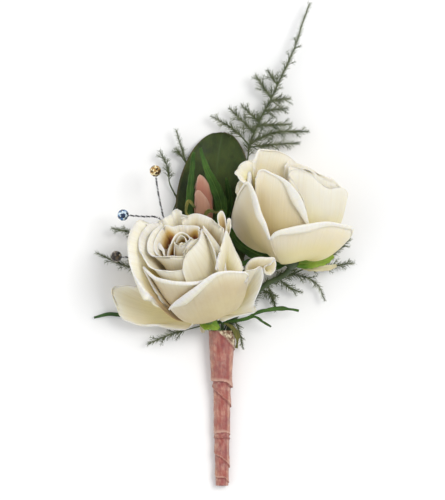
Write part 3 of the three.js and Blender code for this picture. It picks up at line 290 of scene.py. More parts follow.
SLENDER_LEAF = {
    "spine": [(-11, 30.2, 1), (-22, 30.2, 1.3), (-30, 30.7, 1.4), (-36, 31.5, 1.5), (-40, 31.8, 1.5),
              (-45, 30.4, 1.6)],
    "wide": 0.35, "fold": 0.2, "widest": 0.5,
}

# Each stem: its radius and its route
STEMS = {
    "open": (1.1, [(-3.6, 28.6, 7.6), (-1.4, 26, 5.7), (-0.5, 23.5, 5.3), (-0.45, 17, 4.9)]),
    "half": (0.95, [(24.2, 48.4, 11.4), (21.6, 45.4, 10.2), (15.4, 42.2, 8.6), (9.4, 36.6, 7),
                    (4.6, 30.6, 5.6), (2.6, 27.2, 4.8), (1.95, 23.5, 4.35), (1.6, 17, 4.1)]),
    "bud": (0.65, [(-6.4, 60, 9.8), (-6, 50, 6.4), (-3.6, 38, 4.2), (-1.9, 28, 3.4), (-1.45, 23.5, 3.3),
                   (-1.3, 18, 3.2)]),
    "leaf": (0.55, [(-1.6, 44, 2.2), (-0.4, 36, 1.8), (0.2, 28, 2.2), (0.15, 23.5, 2.75), (0.15, 18, 2.7)]),
}
SLENDER_TWIG = (0.45, [(0, 33, 1.9), (-3, 31.6, 0.8), (-8, 30.6, 0.7), (-13, 30.2, 1)])

NEEDLES_IN_TUFT = 7
NEEDLE_LENGTHS = (1.6, 3)
NEEDLE_SPREADS = (30, 62)
NEEDLE_RADIUS = 0.13
NEEDLE_TIP = 0.035
TUFT_SPACING = 0.5
LONG_STEM = 60
LONG_STEM_RADIUS = 0.42
BRANCH_RADIUS = 0.3
SHOOT_RADIUS = 0.16
SHOOT_LENGTHS = (3.2, 5.4)
SHOOT_SPACINGS = (2.2, 3.2)
SHOOTS_END = 0.9
SHOOT_TUFT_SPACING = 0.9
SHOOT_TUFT_SIZE = 0.75
FERN_LOWEST = 0.12
# Each branch: its route, the share of it that is bare, and the size of its needles
FERN_TALL = [
    {"route": [(1.6, 19, 2.4), (1.7, 23.5, 2.3), (2.4, 28, 2.9), (7, 40, 2.2), (7.5, 54, 1.1), (7.6, 70, 1.1),
               (8.2, 82, 1.1), (9.2, 87.4, 1.5), (9.6, 91, 3.6), (13.3, 100, 4.8), (17.1, 107, 5),
               (21, 115.5, 5.2), (24.1, 122, 5.4), (26.6, 128.4, 5.2), (28, 133.3, 4.8), (30.8, 140.7, 4.2)],
     "bare": 0.55},
    {"route": [(17.1, 107.8, 5), (11.9, 115.5, 5.6)], "bare": 0},
    {"route": [(19.6, 112, 5), (16.1, 117.2, 6)], "bare": 0.1},
    {"route": [(13.3, 99, 5), (7, 105, 4.6)], "bare": 0},
    {"route": [(11.5, 95.2, 5), (2.8, 103.9, 4.2)], "bare": 0},
    {"route": [(9.6, 91, 3.6), (4.4, 96.4, 4.6), (-3.5, 101.1, 4.4)], "bare": 0.2},
    {"route": [(17.1, 106.8, 5), (23.8, 107.4, 4.6)], "bare": 0},
    {"route": [(15, 103.2, 5), (22.8, 104, 5.6)], "bare": 0},
    {"route": [(12.4, 98, 5), (24.1, 98.4, 4.4)], "bare": 0},
    {"route": [(9.8, 91.7, 3.8), (18, 95.4, 4.4), (25.5, 95.9, 4.4), (30.1, 95.9, 4.2)], "bare": 0},
    {"route": [(9.4, 90.4, 3.4), (20, 91.4, 3.6), (26.9, 91.8, 3.6)], "bare": 0.15},
]
FERN_LEFT = [
    {"route": [(-1.05, 19, 1.9), (-1.15, 23.5, 1.75), (-3, 29, 1.8), (-6, 33.5, 2.1), (-9, 38, 1.3),
               (-17, 50, 1.1), (-18.6, 62, 1.1), (-15.6, 72, 1), (-11.5, 80, 1), (-13.6, 88, 3.2),
               (-16.1, 96.2, 4.6)], "bare": 0.86},
    {"route": [(-15.6, 72, 1), (-18.5, 78, 3), (-18.9, 82.6, 3.6), (-21.7, 88.9, 4)], "bare": 0.45},
    {"route": [(-12.4, 84.6, 2.4), (-16.1, 89.8, 3.2)], "bare": 0.4},
    {"route": [(-18.4, 57, 1.7), (-27, 59.4, 3.2), (-33, 60.6, 3.6), (-38.5, 61.9, 4)], "bare": 0.3},
    {"route": [(-14, 45.6, 1.1), (-24, 46.6, 1.8), (-34, 48.8, 3.6), (-44.1, 53.2, 3.8)], "bare": 0.4},
    {"route": [(-2.7, 28.4, 1.7), (-6, 27.8, 1.7), (-11, 26.6, 2.8), (-18, 24.6, 3.4), (-25.9, 21.3, 3.6)],
     "bare": 0.42},
]
FERN_RIGHT = [
    {"route": [(0.45, 19, 1.4), (0.45, 23.5, 1.3), (0.8, 26, 1.5), (3, 30, 1.2), (9, 34, 1.8),
               (14, 40.6, 3.2), (23.8, 45.4, 3.4), (29, 44.8, 3.4), (33.6, 42, 3.5), (36, 36.8, 3.6)],
     "bare": 0.36},
    {"route": [(16, 42.2, 3.2), (18.2, 35.7, 3.6)], "bare": 0.15},
    {"route": [(23.8, 45.4, 3.4), (34, 50, 3.6), (40, 53.6, 4), (45, 58, 4.2)], "bare": 0.4},
    {"route": [(14, 40.6, 3.2), (17.5, 38, 3.8), (18.8, 33, 3.8)], "bare": 0.1, "size": 0.8},
    {"route": [(20, 44, 3.4), (24, 40.8, 4), (28, 39.4, 4)], "bare": 0.1, "size": 0.8},
    {"route": [(17, 42.6, 3.2), (21, 45.8, 5), (26, 47.4, 5)], "bare": 0.1, "size": 0.8},
    {"route": [(28, 48, 3.4), (37, 48.4, 3.4), (46.2, 49.7, 3.6)], "bare": 0.2},
    {"route": [(3, 30, 1.2), (4.8, 28.8, 2.4), (6.2, 25, 3.2), (7.4, 19.6, 3.4)], "bare": 0.1, "size": 0.62},
]

# Each pick's route, from the middle of its bead to its end in the bundle
PICKS = {
    "amber": [(-23.3, 81.9, 15), (-22.6, 76, 13.5), (-20.6, 66, 10.5), (-17.4, 54, 5), (-9.4, 38, 4.6),
              (-3.6, 27.4, 5.2), (-2.3, 23.5, 5), (-2.1, 20, 4.9)],
    "blue": [(-34.6, 66.5, 14), (-28, 66, 12.6), (-22, 65.4, 10.6), (-19.6, 60, 7), (-18, 52, 4),
             (-9.8, 36.4, 3.5), (-3.7, 27, 4.1), (-2.65, 23.5, 3.9), (-2.5, 20, 3.9)],
    "smoky": [(-37.1, 52, 9), (-31, 51.4, 6.6), (-23, 49.6, 4), (-17, 44, 2.4), (-11, 36, 2.5), (-3.3, 27, 3),
              (-2.35, 23.5, 2.35), (-2.2, 20, 2.5)],
}
BEAD_RADIUS = 2.1
BEAD_HOLE_DEPTH = 1.2
FACET_CELLS = 1300.0
WIRE_STRAND = 0.19
TWIST_PITCH = 1.9
# Fineness of the painted glint bands on the twisted wire
TWIST_GLINT_BANDS = 480.0

WRAP_TOP = 26
WRAP_WAIST = 5.6
WRAP_END = -29
WRAP_RADIUS_TOP = 4.65
WRAP_RADIUS_WAIST = 3.05
WRAP_RADIUS_END = 2.15
WRAP_FLAT = 0.25
RIBBON_THICK = 0.4
RIBBON_ROWS = 260
RIBBON_SIDES = 72
RIBBON_FLARE = 2.2
RIBBON_CREASE = 0.16
CUFF_RISE = 4
# Lower edges of the ribbon's turns: height at the left, height at the right, and how proud each stands
RIBBON_EDGES = [(29, 19.4, 0.3), (8.8, 6.2, 0.85), (6.4, -0.8, 0.5), (-9.8, -10.6, 0.3),
                (-11.4, -12.2, 0.35), (-16.6, -21.9, 0.5), (-24.7, -27.2, 0.35)]


def lerp(a, b, t):
    return a + (b - a) * t


def smooth(t):
    t = min(max(t, 0), 1)
    return t * t * (3 - 2 * t)


# Camera, light and table
def set_stage():
    camera = bpy.data.objects.new("camera", bpy.data.cameras.new("camera"))
    camera.location = (*LOOK_AT, CAMERA_HEIGHT)
    camera.data.sensor_width = SENSOR
    camera.data.lens = SENSOR * (CAMERA_HEIGHT - SCALE_HEIGHT) / VIEW_LENGTH
    camera.data.clip_start = 0.1
    camera.data.clip_end = 20
    bpy.context.collection.objects.link(camera)
    bpy.context.scene.camera = camera

    world = bpy.data.worlds.new("studio")
    world.use_nodes = True
    background = world.node_tree.nodes["Background"]
    background.inputs["Color"].default_value = (*SKY_COLOR, 1)
    background.inputs["Strength"].default_value = SKY_STRENGTH
    bpy.context.scene.world = world
    bpy.context.scene.view_settings.view_transform = "Standard"

    for name, (energy, spread, color, way) in SUNS.items():
        light = bpy.data.objects.new(name, bpy.data.lights.new(name, "SUN"))
        light.data.energy = energy
        light.data.angle = math.radians(spread)
        light.data.color = color
        light.rotation_euler = Vector(way).to_track_quat("Z", "Y").to_euler()
        bpy.context.collection.objects.link(light)

    bm = bmesh.new()
    bmesh.ops.create_grid(bm, x_segments=1, y_segments=1, size=TABLE_HALF_WIDTH)
    floor = link_mesh("floor", bm)
    floor.data.materials.append(table_white())


def link_mesh(name, bm):
    mesh = bpy.data.meshes.new(name)
    bm.to_mesh(mesh)
    bm.free()
    piece = bpy.data.objects.new(name, mesh)
    bpy.context.collection.objects.link(piece)
    return piece


def finish_piece(name, bm, materials, node, shade_smooth=True):
    """Takes the mesh to metres and puts the piece in the place of one node of the frame."""
    bmesh.ops.scale(bm, vec=(MM, MM, MM), verts=bm.verts)
    for face in bm.faces:
        face.smooth = shade_smooth
    piece = link_mesh(name, bm)
    for material in materials:
        piece.data.materials.append(material)
    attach(piece, "root")
    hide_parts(node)
    return piece


# Node helpers
def fill(tree, made, inputs):
    """Links each input that is given a socket, and sets each that is given a value."""
    for key, value in inputs.items():
        if isinstance(value, bpy.types.NodeSocket):
            tree.links.new(value, made.inputs[key])
        else:
            made.inputs[key].default_value = value


def add_node(tree, kind, inputs, **settings):
    made = tree.nodes.new(kind)
    for key, value in settings.items():
        setattr(made, key, value)
    fill(tree, made, inputs)
    return made


def coordinates(tree, kind):
    return tree.nodes.new("ShaderNodeTexCoord").outputs[kind]


def split(tree, vector):
    return add_node(tree, "ShaderNodeSeparateXYZ", {"Vector": vector}).outputs


def attribute(tree, name):
    return add_node(tree, "ShaderNodeAttribute", {}, attribute_name=name).outputs["Fac"]


def calculate(tree, operation, *values):
    return add_node(tree, "ShaderNodeMath", dict(enumerate(values)), operation=operation).outputs[0]


def times(tree, first, second):
    return calculate(tree, "MULTIPLY", first, second)


def times_plus(tree, first, second, third):
    return calculate(tree, "MULTIPLY_ADD", first, second, third)


def fade(tree, value, start, end, low=0.0, high=1.0, kind="LINEAR"):
    """Goes from low to high as the value goes from start to end, and stays level past them."""
    inputs = {"Value": value, "From Min": start, "From Max": end, "To Min": low, "To Max": high}
    return add_node(tree, "ShaderNodeMapRange", inputs, interpolation_type=kind).outputs[0]


def ramp(tree, factor, stops, interpolation="EASE"):
    made = add_node(tree, "ShaderNodeValToRGB", {"Fac": factor})
    made.color_ramp.interpolation = interpolation
    elements = made.color_ramp.elements
    while len(elements) < len(stops):
        elements.new(0.5)
    for element, (place, color) in zip(elements, stops):
        element.position = place
        element.color = (*color, 1)
    return made.outputs["Color"]


def mix_color(tree, factor, a, b):
    made = add_node(tree, "ShaderNodeMix", {}, data_type="RGBA")
    for key, value in (("Factor", factor), ("A", a), ("B", b)):
        socket = next(s for s in made.inputs if s.name == key and s.enabled)
        if isinstance(value, bpy.types.NodeSocket):
            tree.links.new(value, socket)
        else:
            socket.default_value = (*value, 1)
    return next(s for s in made.outputs if s.enabled)


def tint(tree, color, mask, share, toward):
    """Moves a colour that share of the way to another where the mask is full."""
    return mix_color(tree, times(tree, mask, share), color, toward)


def relief(tree, height, strength, depth):
    """Bumps of a height in millimetres."""
    inputs = {"Height": height, "Strength": strength, "Distance": depth * MM}
    return add_node(tree, "ShaderNodeBump", inputs).outputs["Normal"]


def new_material(name):
    material = bpy.data.materials.new(name)
    material.use_nodes = True
    return material, material.node_tree, material.node_tree.nodes["Principled BSDF"]


def new_group(name, inputs, outputs):
    group = bpy.data.node_groups.new(name, "ShaderNodeTree")
    for label, kind, value in inputs:
        socket = group.interface.new_socket(label, in_out="INPUT", socket_type=kind)
        if value is not None:
            socket.default_value = value
    for label in outputs:
        group.interface.new_socket(label, in_out="OUTPUT", socket_type="NodeSocketFloat")
    return group, group.nodes.new("NodeGroupInput").outputs, group.nodes.new("NodeGroupOutput")


def build_vein_group():
    """Fine streaks that run the length of a petal or leaf and waver a little."""
    group, given, out = new_group(
        "lengthwise veins",
        [("Vector", "NodeSocketVector", None), ("Streaks", "NodeSocketFloat", 60.0),
         ("Stretch", "NodeSocketFloat", 2.0)],
        ["Mask", "Height"])
    place = split(group, given["Vector"])
    across = times(group, place["X"], given["Streaks"])
    along = times(group, place["Y"], given["Stretch"])
    joined = add_node(group, "ShaderNodeCombineXYZ", {"X": across, "Y": along, "Z": place["Z"]})
    inputs = {"Vector": joined.outputs[0], "Scale": 1.0, "Detail": 3.0, "Roughness": 0.6}
    streaks = add_node(group, "ShaderNodeTexNoise", inputs).outputs["Fac"]
    fill(group, out, {"Mask": fade(group, streaks, 0.42, 0.68), "Height": streaks})
    return group


def build_mottle_group():
    """Soft uneven patches in object space, at a size given in millimetres."""
    group, given, out = new_group(
        "soft mottling",
        [("Size", "NodeSocketFloat", 6.0), ("Low", "NodeSocketFloat", 0.35),
         ("High", "NodeSocketFloat", 0.65)],
        ["Mask"])
    scale = calculate(group, "DIVIDE", 1 / MM, given["Size"])
    inputs = {"Vector": coordinates(group, "Object"), "Scale": scale, "Detail": 4.0, "Roughness": 0.55}
    patches = add_node(group, "ShaderNodeTexNoise", inputs).outputs["Fac"]
    fill(group, out, {"Mask": fade(group, patches, given["Low"], given["High"])})
    return group


VEINS = build_vein_group()
MOTTLE = build_mottle_group()


def veins(tree, uv, streaks, stretch):
    inputs = {"Vector": uv, "Streaks": streaks, "Stretch": stretch}
    return add_node(tree, "ShaderNodeGroup", inputs, node_tree=VEINS).outputs


def mottling(tree, size, low, high):
    inputs = {"Size": size, "Low": low, "High": high}
    return add_node(tree, "ShaderNodeGroup", inputs, node_tree=MOTTLE).outputs["Mask"]


# Materials
def table_white():
    material, tree, surface = new_material("table white")
    color = mix_color(tree, mottling(tree, 240.0, 0.2, 0.8), (0.9, 0.9, 0.905), (0.93, 0.93, 0.93))
    fill(tree, surface, {"Base Color": color, "Roughness": 0.9, "Specular IOR Level": 0.1})
    return material


def petal_skin(name, foot, middle, edge, rim, tan, gold_and_shade, painted_recess_shade, translucent=0.3):
    """Petal colour along its length from foot to rim, warmed by its tan; below the rim golden, partly real
    colour and partly painted warm shade, and deeper down painted brown shade in the recesses.
    """
    material, tree, surface = new_material(name)
    uv = coordinates(tree, "UV")
    along = split(tree, uv)["Y"]
    patches = mottling(tree, 9.0, 0.3, 0.7)
    golden = attribute(tree, "gold_and_shade")
    body = fade(tree, along, 0.82, 0.56, kind="SMOOTHSTEP")
    # Painted shade below the rim: golden, partly the real golden base, and deeper down brown where the cup's
    # recesses lie in shade
    below = fade(tree, along, 0.78, 0.63, kind="SMOOTHSTEP")
    deep = fade(tree, along, 0.745, 0.585, kind="SMOOTHSTEP")
    streaks = veins(tree, uv, 55.0, 2.2)
    warm = times(tree, times(tree, attribute(tree, "tan"), body), times_plus(tree, patches, 0.4, 0.6))
    stops = [(0.15, foot), (0.4, middle), (0.64, edge), (0.84, rim), (0.93, rim), (1.0, edge)]
    color = ramp(tree, along, stops)
    color = mix_color(tree, warm, color, tan)
    color = tint(tree, color, golden, below, gold_and_shade)
    color = tint(tree, color, golden, deep, painted_recess_shade)
    color = tint(tree, color, streaks["Mask"], 0.2, tan)
    fill(tree, surface, {
        "Base Color": color,
        "Normal": relief(tree, streaks["Height"], 0.45, 0.4),
        "Roughness": times_plus(tree, patches, 0.15, 0.45),
        "Specular IOR Level": 0.3,
        "Subsurface Weight": translucent,
        "Subsurface Radius": (1, 0.75, 0.35),
        "Subsurface Scale": 2 * MM,
        "Sheen Weight": 0.1,
    })
    return material


def leaf_skin(name, dark, light, vein, ribs, gloss, dry=None):
    """Green blade with a midrib, side veins and patches; dry is the colour of a withered margin."""
    material, tree, surface = new_material(name)
    uv = coordinates(tree, "UV")
    place = split(tree, uv)
    off = calculate(tree, "ABSOLUTE", calculate(tree, "SUBTRACT", place["X"], 0.5))
    slope = calculate(tree, "SUBTRACT", place["Y"], times(tree, off, 0.5))
    side = calculate(tree, "ABSOLUTE", calculate(tree, "SINE", times(tree, slope, ribs * math.pi)))
    midrib = fade(tree, off, 0.0, 0.035, 1.0, 0.0)
    lines = calculate(tree, "MAXIMUM", midrib, fade(tree, side, 0.0, 0.16, 0.6, 0.0))
    patches = mottling(tree, 7.0, 0.35, 0.7)
    color = tint(tree, mix_color(tree, patches, dark, light), lines, 0.55, vein)
    if dry:
        margin = fade(tree, off, 0.46, 0.5)
        fine = times_plus(tree, mottling(tree, 2.5, 0.4, 0.6), 0.5, 0.3)
        color = tint(tree, color, margin, fine, dry)
    height = times_plus(tree, lines, -1.0, veins(tree, uv, 30.0, 12.0)["Height"])
    fill(tree, surface, {
        "Base Color": color,
        "Normal": relief(tree, height, 0.4, 0.3),
        "Roughness": times_plus(tree, patches, 0.15, gloss),
        "Specular IOR Level": 0.25,
        "Subsurface Weight": 0.1,
        "Subsurface Scale": 1 * MM,
    })
    return material


def stalk_skin(name, green, pale):
    material, tree, surface = new_material(name)
    patches = mottling(tree, 3.0, 0.3, 0.7)
    color = mix_color(tree, patches, green, pale)
    fill(tree, surface, {"Base Color": color, "Roughness": times_plus(tree, patches, 0.2, 0.4)})
    return material


def needle_skin():
    material, tree, surface = new_material("fern needles")
    color = mix_color(tree, mottling(tree, 2.2, 0.35, 0.65), (0.04, 0.055, 0.018), (0.27, 0.29, 0.17))
    color = tint(tree, color, mottling(tree, 14.0, 0.35, 0.65), 0.5, (0.07, 0.11, 0.02))
    fill(tree, surface, {"Base Color": color, "Roughness": 0.65})
    return material


def satin():
    """Creased satin: pink where it faces up and creamy at its sides, the cream being painted sheen, with
    painted lengthwise sheen streaks, painted shadow in the folds under each turn's edge and a painted
    highlight along each edge.
    """
    material, tree, surface = new_material("pink satin")
    uv = coordinates(tree, "UV")
    place = split(tree, uv)
    off_top = calculate(tree, "ABSOLUTE", calculate(tree, "SUBTRACT", place["X"], 0.5))
    big = mottling(tree, 4.5, 0.4, 0.62)
    small = mottling(tree, 1.5, 0.4, 0.6)
    streaks = veins(tree, uv, 13.0, 1.6)
    # Painted sheen: the pink turns creamy towards the sides of the wrap, away from where it faces up
    color = ramp(tree, off_top, [(0.0, (0.33, 0.08, 0.06)), (0.09, (0.35, 0.11, 0.08)),
                                 (0.17, (0.56, 0.31, 0.21)), (0.25, (0.4, 0.21, 0.15))])
    color = tint(tree, color, big, 0.65, (0.2, 0.075, 0.085))
    # Painted sheen: pale lengthwise streaks
    color = tint(tree, color, streaks["Mask"], 0.55, (0.72, 0.45, 0.34))
    color = tint(tree, color, small, 0.45, (0.32, 0.07, 0.06))
    # The hollow at the top of the wrap: cream, with painted dark shade inside it
    hollow_cream_and_shade = mix_color(tree, small, (0.7, 0.6, 0.42), (0.16, 0.08, 0.04))
    color = mix_color(tree, attribute(tree, "hollow"), color, hollow_cream_and_shade)
    fold_shadow = fade(tree, place["Y"], 0.1, 0.0, 0.0, 0.75)
    color = mix_color(tree, fold_shadow, color, (0.16, 0.03, 0.03))
    lit_edge = fade(tree, place["Y"], 0.9, 0.97, 0.0, 0.6)
    color = mix_color(tree, lit_edge, color, (0.66, 0.43, 0.33))
    height = times_plus(tree, streaks["Height"], 1.5, small)
    fill(tree, surface, {
        "Base Color": color,
        "Normal": relief(tree, height, 0.5, 0.4),
        "Roughness": times_plus(tree, big, 0.12, 0.34),
        "Specular IOR Level": 0.35,
    })
    return material


def crystal(name, dark, body, painted_glint):
    """Foil-backed cut crystal: each facet takes a dark, coloured or bright share of the ramp, so the dark
    facets are painted reflections and the bright ones painted glints.
    """
    material, tree, surface = new_material(name)
    place = coordinates(tree, "Object")
    # Painted reflections: facets are coloured dark, body colour or as a bright glint, in place of the light
    # they would catch
    cells = add_node(tree, "ShaderNodeTexVoronoi", {"Vector": place, "Scale": FACET_CELLS})
    level = split(tree, cells.outputs["Color"])["X"]
    color = ramp(tree, level, [(0.0, dark), (0.4, body), (0.68, painted_glint)], "CONSTANT")
    fill(tree, surface, {"Base Color": color, "Metallic": 0.55, "Roughness": 0.08, "Coat Weight": 0.6,
                         "Coat Roughness": 0.03})
    return material


def wire_metal():
    material, tree, surface = new_material("dark silver wire")
    inputs = {"Vector": coordinates(tree, "Object"), "Scale": TWIST_GLINT_BANDS}
    twist = add_node(tree, "ShaderNodeTexWave", inputs, bands_direction="DIAGONAL").outputs["Fac"]
    # Painted glints: bright diagonal bands stand in for light caught by the twisted strands; the rest stays
    # dark
    stops = [(0.0, (0.015, 0.015, 0.018)), (0.55, (0.05, 0.05, 0.055)), (0.9, (0.75, 0.75, 0.78))]
    color = ramp(tree, twist, stops)
    fill(tree, surface, {"Base Color": color, "Metallic": 0.6, "Roughness": 0.35})
    return material


# Curves
def catmull_rom(points, count):
    """Points spaced evenly along the centripetal curve through the given ones."""
    ps = [Vector(p) for p in points]
    ps = [2 * ps[0] - ps[1], *ps, 2 * ps[-1] - ps[-2]]
    dense = []
    for i in range(1, len(ps) - 2):
        p0, p1, p2, p3 = ps[i - 1:i + 3]
        d0, d1, d2 = (max((b - a).length ** 0.5, 1e-4) for a, b in ((p0, p1), (p1, p2), (p2, p3)))
        t1 = ((p1 - p0) / d0 - (p2 - p0) / (d0 + d1) + (p2 - p1) / d1) * d1
        t2 = ((p2 - p1) / d1 - (p3 - p1) / (d1 + d2) + (p3 - p2) / d2) * d1
        for k in range(CURVE_STEPS):
            t = k / CURVE_STEPS
            squared = (3 * (p2 - p1) - 2 * t1 - t2) * t ** 2
            cubed = (2 * (p1 - p2) + t1 + t2) * t ** 3
            dense.append(p1 + t1 * t + squared + cubed)
    dense.append(ps[-2])
    reach = [0.0]
    for a, b in zip(dense, dense[1:]):
        reach.append(reach[-1] + (b - a).length)
    spaced, k = [], 0
    for i in range(count):
        target = reach[-1] * i / (count - 1)
        while k < len(dense) - 2 and reach[k + 1] < target:
            k += 1
        share = (target - reach[k]) / max(reach[k + 1] - reach[k], 1e-9)
        spaced.append(dense[k].lerp(dense[k + 1], share))
    return spaced


def add_rod(bm, points, radius, material_index=0, thin_to=1.0, rings=2):
    """A round closed rod along the points, thinning evenly to its end."""
    curve = bpy.data.curves.new("rod", "CURVE")
    curve.dimensions = "3D"
    curve.bevel_depth = radius
    curve.bevel_resolution = rings
    curve.use_fill_caps = True
    spline = curve.splines.new("POLY")
    spline.points.add(len(points) - 1)
    for i, (knot, point) in enumerate(zip(spline.points, points)):
        knot.co = (*point, 1)
        knot.radius = lerp(1, thin_to, i / (len(points) - 1))
    holder = bpy.data.objects.new("rod", curve)
    mesh = bpy.data.meshes.new_from_object(holder)
    start = len(bm.faces)
    bm.from_mesh(mesh)
    bpy.data.objects.remove(holder)
    bpy.data.curves.remove(curve)
    bpy.data.meshes.remove(mesh)
    paint_faces(bm, start, material_index)


def paint_faces(bm, start, material_index):
    """Gives the faces made since start their material."""
    bm.faces.ensure_lookup_table()
    for face in bm.faces[start:]:
        face.material_index = material_index


# Blooms
def bloom_frame(bloom):
    turn, tilt = math.radians(bloom["heading"]), math.radians(bloom["rise"])
    plan = Vector((math.sin(turn), math.cos(turn), 0))
    return {
        "base": Vector(bloom["base"]),
        "axis": plan * math.cos(tilt) + UP * math.sin(tilt),
        "upper": plan * -math.sin(tilt) + UP * math.cos(tilt),
        "right": Vector((plan.y, -plan.x, 0)),
        "foot": bloom["foot"],
    }


def along_rim(values, u):
    """A value, or one given at even steps along the rim, at u from -1 to 1."""
    if not isinstance(values, tuple):
        return values
    place = (u + 1) / 2 * (len(values) - 1)
    low = min(int(place), len(values) - 2)
    return lerp(values[low], values[low + 1], smooth(place - low))


def petal_surface(bloom, petal, seed):
    """The petal's form: a function of u across, -1 to 1, and v along, 0 to 1, with its rolled lip."""
    base, axis = bloom["base"], bloom["axis"]
    rim = catmull_rom(petal["rim"], RIM_STEPS + 1)
    waist = Vector(petal["waist"]) if "waist" in petal else None

    def surface(u, v):
        place = min((u + 1) / 2 * RIM_STEPS, RIM_STEPS - 1e-4)
        low = int(place)
        end = rim[low].lerp(rim[low + 1], place - low)
        edge_way = (rim[min(low + 2, RIM_STEPS)] - rim[max(low - 1, 0)]).normalized()
        from_base = end - base
        up = from_base.dot(axis)
        out = (from_base - axis * up).length
        outward = (from_base - axis * up) / max(out, 1e-3)
        chord = math.atan2(out, up)
        foot = base + axis * FOOT_LIFT + outward * min(bloom["foot"], out * 0.5)
        widen, steepen = (math.radians(along_rim(petal.get(key, 0), u)) for key in ("widen", "steepen"))

        def heading(angle):
            return axis * math.cos(angle) + outward * math.sin(angle)

        # The line from the foot to the rim, as a curve of four points
        if waist:
            leaving = waist.lerp(end, WAIST_LEAVING)
            meeting = waist.lerp(end, WAIST_MEETING) + UP * (end - waist).length * WAIST_CROWN
            tip_way = (end - meeting).normalized()
        else:
            reach = (end - foot).length * BOW_REACH
            tip_way = heading(chord - steepen)
            leaving, meeting = foot + heading(chord + widen) * reach, end - tip_way * reach
        t = min(v / LIP_STARTS, 1)
        point = (foot * (1 - t) ** 3 + leaving * 3 * t * (1 - t) ** 2 + meeting * 3 * t ** 2 * (1 - t)
                 + end * t ** 3)

        # The lip rolls outwards across the rim, and its flap goes on straight from the roll
        outer = outward * math.cos(chord - steepen) - axis * math.sin(chord - steepen)
        across = tip_way - edge_way * tip_way.dot(edge_way)
        if across.length > LEAST_ACROSS:
            across = across.normalized()
            normal = across.cross(edge_way)
            outer = normal if normal.dot(outer) > 0 else -normal
        else:
            across = tip_way
        rolled = max(0, v - LIP_STARTS) / (1 - LIP_STARTS)
        curl, lip, flap = (along_rim(petal.get(key, 0), u) for key in ("curl", "lip", "flap"))
        turn = math.radians(curl) * min(rolled / ROLL_SHARE, 1)
        point += (across * math.sin(turn) + outer * (1 - math.cos(turn))) * lip
        spread = max(0, rolled - ROLL_SHARE) / (1 - ROLL_SHARE)
        point += (across * math.cos(turn) + outer * math.sin(turn)) * flap * spread

        # Waves near the rim, fine ones on them, and a slow swell of the whole petal
        wave = noise.noise(Vector((u * 3.1 + seed * 7.3, v * 1.4, seed * 3.1)))
        fine = noise.noise(Vector((u * 8 + seed * 5.1, v * 2, seed * 1.7)))
        waves = wave * WAVE + fine * FINE_WAVE
        point += outer * waves * petal.get("ruffle", 0.1) * smooth((v - 0.4) / 0.5)
        slow = noise.noise(Vector((u * 1.8 + seed * 2.3, v * 2.2, seed * 0.7)))
        point += outer * slow * SWELL * smooth(v / 0.4)
        return point

    return surface


def new_blade_mesh():
    bm = bmesh.new()
    bm.loops.layers.uv.new("UVMap")
    bm.verts.layers.float.new("tan")
    bm.verts.layers.float.new("gold_and_shade")
    return bm


def add_blade(bm, surface, across, along, thick=None, material_index=0, tan=0.0, gold_and_shade=0.0):
    """A blade over the surface, closed if given a thickness, with its place along and across as UV."""
    tan_layer = bm.verts.layers.float["tan"]
    gold_and_shade_layer = bm.verts.layers.float["gold_and_shade"]
    grid = bmesh.ops.create_grid(bm, x_segments=across, y_segments=along, size=1, calc_uvs=True)["verts"]
    faces = list(dict.fromkeys(face for vert in grid for face in vert.link_faces))
    for vert in grid:
        vert[tan_layer] = along_rim(tan, vert.co.x)
        vert[gold_and_shade_layer] = along_rim(gold_and_shade, vert.co.x)
        vert.co = surface(vert.co.x, (vert.co.y + 1) / 2)
    for face in faces:
        face.material_index = material_index
        face.normal_update()
    if thick:
        bmesh.ops.solidify(bm, geom=faces, thickness=thick)


def add_rolled_heart(bm, bloom, turns, inner, outer, height, tilt):
    """The innermost petals, rolled round one another like a scroll."""
    def surface(u, v):
        share = (u + 1) / 2
        angle = 2 * math.pi * turns * share
        radius = lerp(inner, outer, share) * (1 - 0.3 * smooth((v - 0.7) / 0.3))
        top = height - tilt * math.cos(angle - 0.6) + 0.5 * math.sin(angle * 2.3)
        return (bloom["base"] + bloom["axis"] * lerp(2, top, v)
                + (bloom["upper"] * math.cos(angle) + bloom["right"] * math.sin(angle)) * radius)
    add_blade(bm, surface, across=72, along=24, tan=0.3, gold_and_shade=1.6)


def make_bloom(name, bloom, petals, skin, node, heart=None, across=44, along=34):
    bm = new_blade_mesh()
    for seed, petal in enumerate(petals.values(), len(petals)):
        add_blade(bm, petal_surface(bloom, petal, seed), across, along,
                  tan=petal.get("tan", 0.2), gold_and_shade=petal.get("gold_and_shade", 0.1))
    if heart:
        add_rolled_heart(bm, bloom, **heart)
    bmesh.ops.recalc_face_normals(bm, faces=bm.faces)
    piece = finish_piece(name, bm, [skin], node)
    wall = piece.modifiers.new("petal thickness", "SOLIDIFY")
    wall.thickness = PETAL_THICK * MM
    wall.offset = 0


